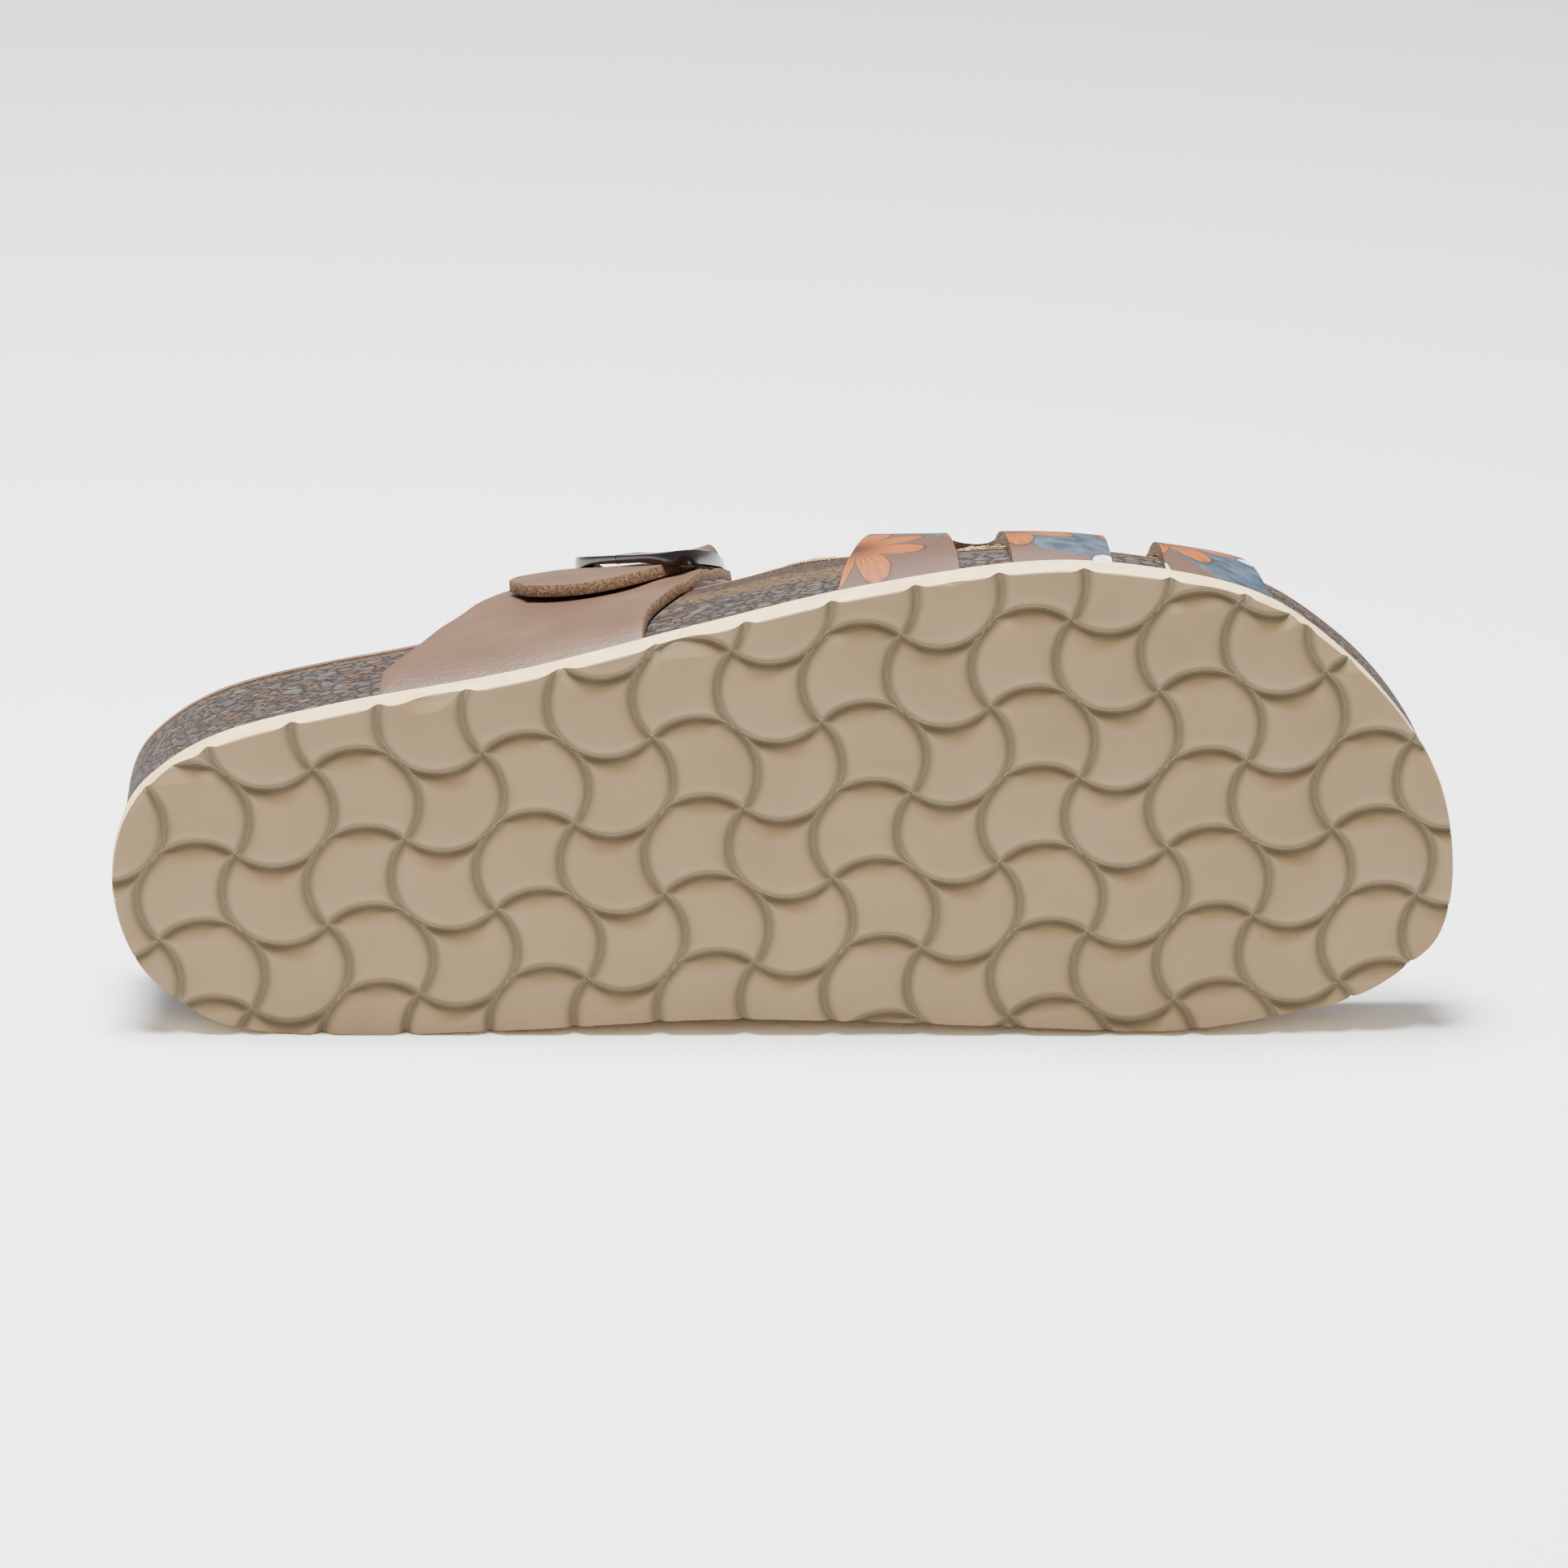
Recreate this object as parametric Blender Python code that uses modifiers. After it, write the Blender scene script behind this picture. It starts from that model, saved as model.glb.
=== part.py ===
"""Cork footbed sandal for the right foot, lying on its inner side.

The sandal is drawn upright in its own frame: x runs from the heel to the toe, y points to the
inner (big toe) side, and z is the height above the ground plane of the tread.  An empty then
lays the finished pieces on their inner side, where the sole's edge and the upper touch the floor.
"""

from bisect import bisect_right
from collections import namedtuple
from math import acos, cos, pi, radians, sin, sqrt

import bmesh
import bpy
from mathutils import Matrix, Vector

MM = 0.001

# Driving dimensions, in metres
SOLE_LENGTH = 0.2493
SOLE_THICKNESS = 0.0075
SOLE_EDGE_FLARE = 0.0006
TOE_SPRING = 0.004
TOE_SPRING_START = 0.180
GAP = 0.0003
LEATHER = 0.0024
LINER = 0.0017
CORK_INSET = 0.0012
SWELL_HEIGHT = 0.036
TAB_DEPTH = 0.005
TAB_TOP = LEATHER + 0.0005
POCKET_PLAY = 0.0010
SPINE_START = 0.034
SPINE_END = 0.215

# The bowl of the footbed: how far in from the wall, and how high from the seat 0 to the rim 1
BOWL = [(0.0, 1.0), (0.0042, 0.96), (0.010, 0.42), (0.018, 0.08), (0.026, -0.03)]
BOWL_REACH = 0.86
WALL_LEVELS = [0.0, 0.35, 0.7]

# Tread: a square lattice whose cell edges are quarter circles
TREAD_PITCH = 0.0156
TREAD_TURN = radians(2.8)
TREAD_ORIGIN = Vector((0.0703, 0.0149))
GROOVE_DEPTH = 0.0018
PAD_ROOT = 0.0008
GROOVE_HALF_WIDTH = 0.00085
GROOVE_FLARE = 0.0004
ARC_STEPS = 3
PAD_EDGE_STEP = 0.0004
TREAD_ROWS = range(-6, 13)
TREAD_COLUMNS = range(-5, 5)

# Buckle metal
FRAME_THICKNESS = 0.0016
PRONG_RADIUS = 0.0009

# How the sandal lies: turned in the plane of the sole, then leaned over, then set on the floor
REST_YAW = radians(-3.10)
REST_LEAN = radians(4.16)

STATIONS = 34

# Outline of the tread in mm: outer and inner are y at the little toe side and the big toe side
Outline = namedtuple("Outline", "x outer inner")
OUTLINE = [
    Outline(0.0, 6.0, 6.0),
    Outline(2.5, -6.5, 19.0),
    Outline(6.8, -12.4, 26.0),
    Outline(20.0, -20.5, 35.4),
    Outline(43.0, -25.7, 38.5),
    Outline(75.0, -30.4, 39.2),
    Outline(110.0, -38.1, 39.0),
    Outline(140.0, -44.2, 41.1),
    Outline(173.0, -47.5, 44.1),
    Outline(196.0, -44.5, 45.9),
    Outline(214.0, -38.4, 44.4),
    Outline(230.5, -25.0, 41.6),
    Outline(241.5, -10.8, 35.6),
    Outline(247.0, 1.0, 30.0),
    Outline(249.3, 18.0, 18.0),
]

# Footbed in mm above the sole: rim height on each side, seat height in the middle, how far the
# inner wall swells beyond the sole, and how far the wall leans in by the time it reaches the rim
Footbed = namedtuple("Footbed", "x outer_rim inner_rim seat swell lean")
FOOTBED = [
    Footbed(0.0, 26.0, 26.0, 14.0, 0.0, 1.6),
    Footbed(20.0, 27.5, 28.0, 12.5, 0.0, 1.2),
    Footbed(50.0, 27.0, 30.0, 12.5, 1.0, 0.5),
    Footbed(92.0, 29.5, 34.0, 16.0, 5.0, 0.0),
    Footbed(118.0, 30.5, 31.0, 15.0, 4.0, 0.0),
    Footbed(140.0, 22.0, 24.0, 12.5, 1.5, 0.0),
    Footbed(163.0, 15.0, 16.0, 9.0, 0.0, 0.0),
    Footbed(192.0, 11.5, 11.5, 7.0, 0.0, -0.4),
    Footbed(214.0, 12.0, 10.5, 7.5, 0.0, -2.0),
    Footbed(235.0, 13.0, 10.5, 6.8, 0.0, -3.6),
    Footbed(249.3, 12.0, 10.5, 6.5, 0.0, -3.8),
]

# The last above the footbed: height of its crown over the sole in mm, and how square it is
Last = namedtuple("Last", "x crown power")
LAST = [
    Last(0.0, 260.0, 2.6),
    Last(50.0, 93.0, 2.4),
    Last(70.0, 87.0, 2.5),
    Last(90.0, 79.0, 2.1),
    Last(105.0, 73.0, 1.95),
    Last(120.0, 68.0, 2.0),
    Last(135.0, 63.0, 2.4),
    Last(160.0, 51.0, 2.2),
    Last(185.0, 41.0, 2.2),
    Last(214.0, 37.0, 2.4),
    Last(249.3, 60.0, 2.4),
]

# Forefoot upper: its rear and front edges at the sole and at the crown, and its slots, in mm
Slot = namedtuple("Slot", "rear front top")
VAMP_REAR_AT_SOLE = 135.3
VAMP_REAR_AT_CROWN = 151.0
VAMP_FRONT_AT_SOLE = 213.8
VAMP_FRONT_AT_CROWN = 206.0
VAMP_TURNS = [8, 15, 24, 34, 46, 60, 75, 90, 105, 120, 134, 146, 156, 165, 172]
VAMP_COLUMNS = 13
VAMP_EDGE_POWER = 0.8
VAMP_SLOTS = [Slot(157.3, 167.2, 36.0), Slot(185.4, 195.4, 31.0)]
SLOT_BELOW = 0.004
SLOT_NEAR = 0.020
SLOT_FAR = 0.080

# Edges of the quarter and of the strap: x in mm, and turn in degrees round the last, from 0 at
# the outer foot over the crown at 90 to 180 at the inner foot; lift is the height over the last
Row = namedtuple("Row", "rear_x rear_turn front_x front_turn lift")
QUARTER = [
    Row(50.6, 2.0, 99.5, 2.0, 0.0),
    Row(59.0, 9.0, 101.5, 9.0, 0.0),
    Row(70.0, 21.0, 106.5, 18.0, 0.0),
    Row(81.0, 34.0, 111.5, 28.0, 0.0),
    Row(91.0, 48.0, 115.5, 38.0, 0.0),
    Row(98.5, 61.0, 119.0, 48.0, 0.0),
]
STRAP = [
    Row(80.0, 178.0, 116.0, 178.0, 0.2),
    Row(83.0, 170.0, 117.0, 170.0, 0.4),
    Row(90.0, 150.0, 118.0, 149.0, 0.6),
    Row(95.0, 124.0, 119.5, 123.0, 0.6),
    Row(98.5, 97.0, 120.5, 95.0, 1.6),
    Row(100.0, 78.0, 119.0, 72.0, 5.2),
    Row(99.5, 64.0, 116.5, 52.5, 6.5),
    Row(97.0, 53.0, 113.5, 40.5, 3.4),
    Row(92.5, 45.0, 109.0, 31.5, 2.7),
    Row(87.5, 37.0, 102.0, 24.5, 2.7),
    Row(82.0, 30.5, 94.0, 20.5, 2.8),
    Row(78.0, 26.5, 86.0, 19.5, 3.0),
    Row(76.5, 23.5, 79.5, 20.0, 3.2),
]
QUARTER_ROWS = 11
QUARTER_COLUMNS = 9
STRAP_ROWS = 37
STRAP_COLUMNS = 5

# Buckle, in steps along the strap's table and shares of its width; lifts and sizes in metres
BAR_STEP = 6.05
FRAME_END_STEP = 8.35
FRAME_SIDE = 0.54
RAIL_STEP = 0.28
RAIL_SHARE = 0.10
BAR_LIFT = LEATHER + GAP
FRAME_LIFT = 0.0056
HOLE_STEP = 6.66
HOLE_HALF_LENGTH = 0.38
HOLE_HALF_WIDTH = 0.085
FRAME_TURNS = 32
FRAME_CORNER = 0.36
FRAME_BEND = 0.8
HOLE_FLOOR = 0.0030
HOLE_REACH = 0.010
HOLE_SIDES = 12

# Keepers: leather saddles over the bar; each step along the strap with its height over the strap
KEEPER = 0.0010
KEEPER_HALF_WIDTH = 0.09
UPPER_KEEPER_SHARE = 0.27
LOWER_KEEPER_SHARE = 0.73
KEEPER_OVER = BAR_LIFT + FRAME_THICKNESS + GAP
KEEPER_PROFILE = [(-0.75, BAR_LIFT), (-0.45, BAR_LIFT), (-0.22, KEEPER_OVER), (0.0, KEEPER_OVER),
                  (0.22, KEEPER_OVER), (0.45, BAR_LIFT), (0.70, BAR_LIFT)]

# Prong: each step along the strap with the height of its middle over the last
PRONG_START = BAR_LIFT + PRONG_RADIUS
PRONG_REST = FRAME_LIFT + FRAME_THICKNESS + PRONG_RADIUS + GAP
PRONG_ROUTE = [(BAR_STEP + 0.13, PRONG_START), (HOLE_STEP - 0.26, PRONG_START + 0.0004),
               (HOLE_STEP - 0.06, PRONG_START + 0.0023), (HOLE_STEP + 0.17, PRONG_REST - 0.0007),
               (HOLE_STEP + 0.37, PRONG_REST), (7.5, PRONG_REST), (8.1, PRONG_REST),
               (FRAME_END_STEP + RAIL_STEP, PRONG_REST)]
PRONG_SIDES = 8

Look = namedtuple("Look", "colour roughness metallic")
CREAM_FOAM = Look((0.62, 0.52, 0.38), 0.75, 0.0)
CORK = Look((0.30, 0.24, 0.20), 0.85, 0.0)
SUEDE = Look((0.22, 0.15, 0.10), 0.95, 0.0)
PRINTED_LEATHER = Look((0.42, 0.30, 0.23), 0.50, 0.0)
PLAIN_LEATHER = Look((0.38, 0.26, 0.20), 0.45, 0.0)
GUNMETAL = Look((0.12, 0.11, 0.11), 0.30, 1.0)


def clear_scene():
    """Start from an empty scene."""
    for thing in list(bpy.data.objects):
        bpy.data.objects.remove(thing, do_unlink=True)


def station_of(x):
    """Where x lies from heel 0 to toe 1, with the round ends stretched so curves stay smooth."""
    share = min(max(x / SOLE_LENGTH, 0.0), 1.0)
    return acos(1.0 - 2.0 * share) / pi


def hermite(keys, values, key):
    """A smooth curve through the values, with the slope at each one taken from its neighbours."""
    last = len(keys) - 1
    index = min(max(bisect_right(keys, key) - 1, 0), last - 1)
    slopes = []
    for i in (index, index + 1):
        before, after = max(i - 1, 0), min(i + 1, last)
        slopes.append((values[after] - values[before]) / (keys[after] - keys[before]))
    span = keys[index + 1] - keys[index]
    t = (key - keys[index]) / span
    start = values[index] * (1 + 2 * t) + span * slopes[0] * t
    end = values[index + 1] * (3 - 2 * t) - span * slopes[1] * (1 - t)
    return start * (1 - t) ** 2 + end * t ** 2


def read(table, column, x):
    """Value of a table's column at x; the tables are in mm and x is in metres."""
    keys = [station_of(row.x * MM) for row in table]
    return hermite(keys, [getattr(row, column) for row in table], station_of(x))


def spring(x):
    """How far the toe end curves up from the floor."""
    share = max(0.0, (x - TOE_SPRING_START) / (SOLE_LENGTH - TOE_SPRING_START))
    return TOE_SPRING * share ** 2


def outline_point(x, side):
    """A point of the tread's outline, on its outer or its inner side."""
    return Vector((x, read(OUTLINE, side, x) * MM))


def spine_point(x):
    """The middle of the sole, which stops short of both ends so that rings close round them."""
    inside = min(max(x, SPINE_START), SPINE_END)
    return (outline_point(inside, "outer") + outline_point(inside, "inner")) / 2


def wall_point(x, side, height, gap=0.0):
    """A point of the side wall at a height over the sole: the inside face of any strap on it."""
    edge = outline_point(x, side)
    spine = spine_point(x)
    outward = (edge - spine).normalized()
    ramp = min(height / SWELL_HEIGHT, 1.0)
    swell = read(FOOTBED, "swell", x) * MM if side == "inner" else 0.0
    lean = read(FOOTBED, "lean", x) * MM
    edge = edge + outward * (swell * ramp * ramp * (3 - 2 * ramp) - lean * ramp - CORK_INSET)
    crown = read(LAST, "crown", x) * MM
    power = read(LAST, "power", x)
    narrowing = (1.0 - min(height / crown, 1.0) ** power) ** (1.0 / power)
    flat = spine + (edge - spine) * narrowing - outward * gap
    return Vector((flat.x, flat.y, SOLE_THICKNESS + height + spring(x)))


def last_point(x, turn):
    """A point of the last at x, turn degrees round from the outer foot over the crown."""
    side = "outer" if turn < 90.0 else "inner"
    angle = radians(turn if turn < 90.0 else 180.0 - turn)
    crown = read(LAST, "crown", x) * MM
    power = read(LAST, "power", x)
    return wall_point(x, side, crown * sin(angle) ** (2.0 / power))


def last_normal(x, turn):
    """Outward direction of the last at a point."""
    turn = min(max(turn, 1.0), 179.0)
    along = last_point(x + 0.0005, turn) - last_point(x - 0.0005, turn)
    around = last_point(x, turn + 0.5) - last_point(x, turn - 0.5)
    return along.cross(around).normalized()


def across(start, end, count):
    """Evenly spaced values from start to end."""
    return [start + (end - start) * i / (count - 1) for i in range(count)]


def new_object(name, vertices, faces, collection):
    """An object from its vertices and faces."""
    mesh = bpy.data.meshes.new(name)
    mesh.from_pydata([tuple(v) for v in vertices], [], faces)
    mesh.validate()
    thing = bpy.data.objects.new(name, mesh)
    collection.objects.link(thing)
    return thing


def face_outwards(thing):
    """Turn every face of a closed mesh outwards."""
    edit = bmesh.new()
    edit.from_mesh(thing.data)
    bmesh.ops.recalc_face_normals(edit, faces=edit.faces)
    edit.to_mesh(thing.data)
    edit.free()


def ring_of(point_at):
    """A closed loop round the sole: the outer side from heel to toe, then the inner side back."""
    places = [SOLE_LENGTH * (1 - cos(pi * i / STATIONS)) / 2 for i in range(STATIONS + 1)]
    outer = [point_at(x, "outer") for x in places]
    inner = [point_at(x, "inner") for x in places[1:-1]]
    return outer + inner[::-1]


def split_quad(vertices, quad):
    """Two triangles along the quad's shorter diagonal, so that facing sheets are cut alike."""
    a, b, c, d = quad
    if (vertices[a] - vertices[c]).length < (vertices[b] - vertices[d]).length:
        return [(a, b, c), (a, c, d)]
    return [(a, b, d), (b, c, d)]


def ring_solid(name, rings, collection):
    """A closed solid through a stack of loops, its first and last loops filled across."""
    count = len(rings[0])
    vertices = [p for ring in rings for p in ring]
    faces = []
    for level in range(len(rings) - 1):
        for i in range(count):
            j = (i + 1) % count
            low, high = level * count, (level + 1) * count
            faces += split_quad(vertices, (low + i, low + j, high + j, high + i))
    for base in (0, (len(rings) - 1) * count):
        for i in range(STATIONS):
            corners = [i, i + 1, (count - i - 1) % count, (count - i) % count]
            corners = [base + c for c in dict.fromkeys(corners)]
            faces += split_quad(vertices, corners) if len(corners) == 4 else [tuple(corners)]
    thing = new_object(name, vertices, faces, collection)
    face_outwards(thing)
    return thing


def flat_ring(inset, z):
    """A loop at one height, parallel to the tread's outline."""
    def place(x, side):
        edge = outline_point(x, side)
        flat = edge - (edge - spine_point(x)).normalized() * inset
        return Vector((flat.x, flat.y, z))
    return ring_of(place)


def lattice_node(row, column):
    """A node of the tread lattice: rows run to the toe, columns to the inner side."""
    along = Vector((cos(TREAD_TURN), -sin(TREAD_TURN)))
    across = Vector((sin(TREAD_TURN), cos(TREAD_TURN)))
    return TREAD_ORIGIN + TREAD_PITCH * (row * along + column * across)


def quarter_circle(start, end, bulge):
    """Points from start to just before end on a quarter circle that swells towards bulge."""
    chord = end - start
    radius = chord.length / sqrt(2)
    points = []
    for step in range(ARC_STEPS):
        angle = radians(-45 + 90 * step / ARC_STEPS)
        along = 0.5 + radius * sin(angle) / chord.length
        points.append(start + chord * along + bulge * (radius * cos(angle) - chord.length / 2))
    return points


def tread_cell(row, column):
    """Outline of one wavy tread pad, before its grooves are taken off."""
    heel_inner = lattice_node(row, column + 1)
    heel_outer = lattice_node(row, column)
    toe_outer = lattice_node(row + 1, column)
    toe_inner = lattice_node(row + 1, column + 1)
    along = (toe_outer - heel_outer).normalized()
    across = (heel_inner - heel_outer).normalized()
    to_side = -across if row % 2 == 0 else across
    to_end = along if column % 2 == 0 else -along
    return (quarter_circle(heel_outer, toe_outer, to_side)
            + quarter_circle(toe_outer, toe_inner, to_end)
            + quarter_circle(toe_inner, heel_inner, to_side)
            + quarter_circle(heel_inner, heel_outer, to_end))


def shrink(points, inset):
    """Move every edge of a flat polygon inwards; the points run with the inside on their left."""
    moved = []
    for i, point in enumerate(points):
        before = (point - points[i - 1]).normalized()
        after = (points[(i + 1) % len(points)] - point).normalized()
        first = Vector((-before.y, before.x))
        second = Vector((-after.y, after.x))
        moved.append(point + (first + second) * (inset / (1 + first.dot(second))))
    return moved


def tread_pads(collection):
    """Every pad of the tread as a tapered block, still running past the sole's edge."""
    vertices, faces = [], []
    for row in TREAD_ROWS:
        for column in TREAD_COLUMNS:
            cell = tread_cell(row, column)
            middle = sum(cell, Vector((0, 0))) / len(cell)
            if not near_sole(middle):
                continue
            top = shrink(cell, GROOVE_HALF_WIDTH)
            face = shrink(cell, GROOVE_HALF_WIDTH + GROOVE_FLARE)
            count, base = len(cell), len(vertices)
            vertices += [(p.x, p.y, 0.0) for p in face]
            vertices += [(p.x, p.y, GROOVE_DEPTH + PAD_ROOT) for p in top]
            faces.append(tuple(base + i for i in reversed(range(count))))
            faces.append(tuple(base + count + i for i in range(count)))
            for i in range(count):
                j = (i + 1) % count
                faces.append((base + i, base + j, base + count + j, base + count + i))
    pads = new_object("tread_pads", vertices, faces, collection)
    face_outwards(pads)
    return pads


def near_sole(point):
    """Whether a cell's middle is close enough to the sole for the cell to reach it."""
    x = min(max(point.x, 0.0), SOLE_LENGTH)
    reach = 0.7 * TREAD_PITCH
    inside = outline_point(x, "outer").y - reach < point.y < outline_point(x, "inner").y + reach
    return inside and abs(point.x - x) < reach


def add_boolean(thing, cutter, operation):
    """Cut a piece with a guide, or join a guide to it."""
    step = thing.modifiers.new(operation.lower(), "BOOLEAN")
    step.operation = operation
    step.object = cutter
    step.solver = "EXACT"


def as_guide(thing):
    """Mark an object as a guide, which is no piece of the sandal."""
    thing.hide_render = True
    thing.display_type = "WIRE"


def finished_mesh(thing):
    """The mesh of an object with its modifiers carried out."""
    bpy.context.view_layer.update()
    evaluated = thing.evaluated_get(bpy.context.evaluated_depsgraph_get())
    return bpy.data.meshes.new_from_object(evaluated)


def make_outsole(parts, guides):
    """The moulded sole: a slab with flared edges and the wavy pads of its tread."""
    trim_levels = [-PAD_ROOT, GROOVE_DEPTH + 2 * PAD_ROOT]
    trim = ring_solid("tread_trim", [flat_ring(PAD_EDGE_STEP, z) for z in trim_levels], guides)
    pads = tread_pads(guides)
    add_boolean(pads, trim, "INTERSECT")
    levels = [(0.0, GROOVE_DEPTH), (SOLE_EDGE_FLARE, SOLE_THICKNESS)]
    slab = ring_solid("outsole", [flat_ring(inset, z) for inset, z in levels], parts)
    add_boolean(slab, pads, "UNION")
    for guide in (trim, pads):
        as_guide(guide)
    mesh = finished_mesh(slab)
    slab.modifiers.clear()
    for vertex in mesh.vertices:
        vertex.co.z += spring(vertex.co.x)
    slab.data = mesh
    return slab


def rim_height(x, side):
    """Height of the footbed's rim over the sole, with its liner on."""
    return read(FOOTBED, side + "_rim", x) * MM


def bed_ring(inset, rise, top=0.0):
    """A loop on the bowl of the footbed: inset from the wall, and rise from seat 0 to rim 1."""
    def place(x, side):
        cork_rim = rim_height(x, side) - LINER - GAP
        wall = wall_point(x, side, cork_rim + top, GAP)
        spine = spine_point(x)
        flat = Vector((wall.x, wall.y))
        inward = (spine - flat).normalized() * min(inset, BOWL_REACH * (spine - flat).length)
        seat = read(FOOTBED, "seat", x) * MM
        height = seat + (cork_rim - seat) * rise
        return Vector((flat.x + inward.x, flat.y + inward.y, SOLE_THICKNESS + height + spring(x) + top))
    return ring_of(place)


def bed_rings(top=0.0):
    """The bowl of the footbed from its rim to its seat."""
    return [bed_ring(inset, rise, top) for inset, rise in BOWL]


def make_cork(parts, guides):
    """The cork block: walls that the straps lie against, and the bowl that carries the foot."""
    def wall(share):
        def place(x, side):
            height = GAP + (rim_height(x, side) - LINER - 2 * GAP) * share
            return wall_point(x, side, height, GAP)
        return ring_of(place)
    rings = [wall(share) for share in WALL_LEVELS] + bed_rings()
    cork = ring_solid("footbed_cork", rings, parts)
    add_boolean(cork, tab_cutter(guides), "DIFFERENCE")
    return cork


def make_liner(parts):
    """The suede sheet over the cork, with its cut edge flush with the wall of the footbed."""
    under = bed_rings(1.5 * GAP)
    over = bed_rings(1.5 * GAP + LINER)
    return ring_solid("footbed_liner", under[::-1] + over, parts)


def tab_cutter(guides):
    """The pockets under the cork that take the ends of the straps."""
    feet = [(STRAP[0].rear_x, STRAP[0].front_x, "inner"),
            (QUARTER[0].rear_x, QUARTER[0].front_x, "outer")]
    edges = [x for slot in VAMP_SLOTS for x in (slot.rear, slot.front)]
    edges = [VAMP_REAR_AT_SOLE] + edges + [VAMP_FRONT_AT_SOLE]
    for rear, front in zip(edges[::2], edges[1::2]):
        feet += [(rear, front, "outer"), (rear, front, "inner")]
    vertices, faces, cuts = [], [], 5
    for rear, front, side in feet:
        base = len(vertices)
        for x in across(rear * MM - POCKET_PLAY, front * MM + POCKET_PLAY, cuts):
            near = tab_point(x, side, TAB_DEPTH + 2 * GAP)
            far = tab_point(x, side, -LEATHER)
            roof, below = Vector((0, 0, GAP)), Vector((0, 0, -2 * LEATHER))
            vertices += [near + below, far + below, far + roof, near + roof]
        for i in range(cuts - 1):
            a, b = base + 4 * i, base + 4 * i + 4
            faces += [(a + k, a + (k + 1) % 4, b + (k + 1) % 4, b + k) for k in range(4)]
        end_face = base + 4 * (cuts - 1)
        faces += [(base + 3, base + 2, base + 1, base), tuple(end_face + k for k in range(4))]
    cutter = new_object("strap_pockets", vertices, faces, guides)
    face_outwards(cutter)
    as_guide(cutter)
    return cutter


def tab_point(x, side, reach):
    """A point reach inwards from the foot of the wall, square to the outline of the sole."""
    wall = wall_point(x, side, TAB_TOP)
    ahead = wall_point(x + 0.001, side, TAB_TOP) - wall
    inward = Vector((-ahead.y, ahead.x)) if side == "outer" else Vector((ahead.y, -ahead.x))
    inward = inward.normalized() * reach
    return Vector((wall.x + inward.x, wall.y + inward.y, wall.z))


def sheet(name, grid, thickness, collection, outward=True):
    """A sheet of leather whose inside face is the grid of points."""
    columns = len(grid[0])
    vertices = [p for row in grid for p in row]
    faces = []
    for i in range(len(grid) - 1):
        for j in range(columns - 1):
            a = i * columns + j
            face = (a, a + 1, a + columns + 1, a + columns)
            faces.append(face if outward else face[::-1])
    thing = new_object(name, vertices, faces, collection)
    wall = thing.modifiers.new("thickness", "SOLIDIFY")
    wall.thickness = thickness
    wall.offset = 1.0
    wall.use_even_offset = True
    return thing


def smooth_rows(rows, count):
    """The rows of an edge table drawn as smooth curves with count rows."""
    keys = list(range(len(rows)))
    steps = [keys[-1] * i / (count - 1) for i in range(count)]
    columns = [[float(row[c]) for row in rows] for c in range(len(rows[0]))]
    return [Row(*(hermite(keys, column, step) for column in columns)) for step in steps]


def row_point(row, share, lift=0.0):
    """A point between the rear edge 0 and the front edge 1 of a row, lifted off the last."""
    x = (row.rear_x + (row.front_x - row.rear_x) * share) * MM
    turn = row.rear_turn + (row.front_turn - row.rear_turn) * share
    return last_point(x, turn) + last_normal(x, turn) * (row.lift * MM + lift)


def foot_rows(x_values, side):
    """The two rows that turn a strap under the cork."""
    tab = [tab_point(x, side, TAB_DEPTH) for x in x_values]
    corner = [wall_point(x, side, TAB_TOP) for x in x_values]
    return [tab, corner]


def make_vamp(parts, guides):
    """The forefoot upper: three bands a side that join over the toes in one sheet."""
    def x_values(turn):
        rise = sin(radians(turn)) ** VAMP_EDGE_POWER
        rear = VAMP_REAR_AT_SOLE + (VAMP_REAR_AT_CROWN - VAMP_REAR_AT_SOLE) * rise
        front = VAMP_FRONT_AT_SOLE + (VAMP_FRONT_AT_CROWN - VAMP_FRONT_AT_SOLE) * rise
        return across(rear * MM, front * MM, VAMP_COLUMNS)
    grid = foot_rows(x_values(0), "outer")
    grid += [[last_point(x, turn) for x in x_values(turn)] for turn in VAMP_TURNS]
    grid += foot_rows(x_values(0), "inner")[::-1]
    vamp = sheet("forefoot_upper", grid, LEATHER, parts)
    add_boolean(vamp, slot_cutter(guides), "DIFFERENCE")
    return vamp


def slot_cutter(guides):
    """Round-topped blocks that part the bands, two on each side."""
    vertices, faces, steps = [], [], 6
    foot = SOLE_THICKNESS - SLOT_BELOW
    for slot in VAMP_SLOTS:
        radius = (slot.front - slot.rear) / 2 * MM
        middle = (slot.front + slot.rear) / 2 * MM
        round_centre = SOLE_THICKNESS + slot.top * MM - radius
        profile = [(middle - radius, foot)]
        for i in range(steps + 1):
            angle = pi - pi * i / steps
            profile.append((middle + radius * cos(angle), round_centre + radius * sin(angle)))
        profile.append((middle + radius, foot))
        count = len(profile)
        for near, far in ((-SLOT_FAR, -SLOT_NEAR), (SLOT_NEAR, SLOT_FAR)):
            base = len(vertices)
            vertices += [(x, near, z) for x, z in profile] + [(x, far, z) for x, z in profile]
            faces.append(tuple(base + i for i in range(count)))
            faces.append(tuple(base + count + i for i in reversed(range(count))))
            for i in range(count):
                j = (i + 1) % count
                faces.append((base + i, base + count + i, base + count + j, base + j))
    cutter = new_object("band_slots", vertices, faces, guides)
    face_outwards(cutter)
    as_guide(cutter)
    return cutter


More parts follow.
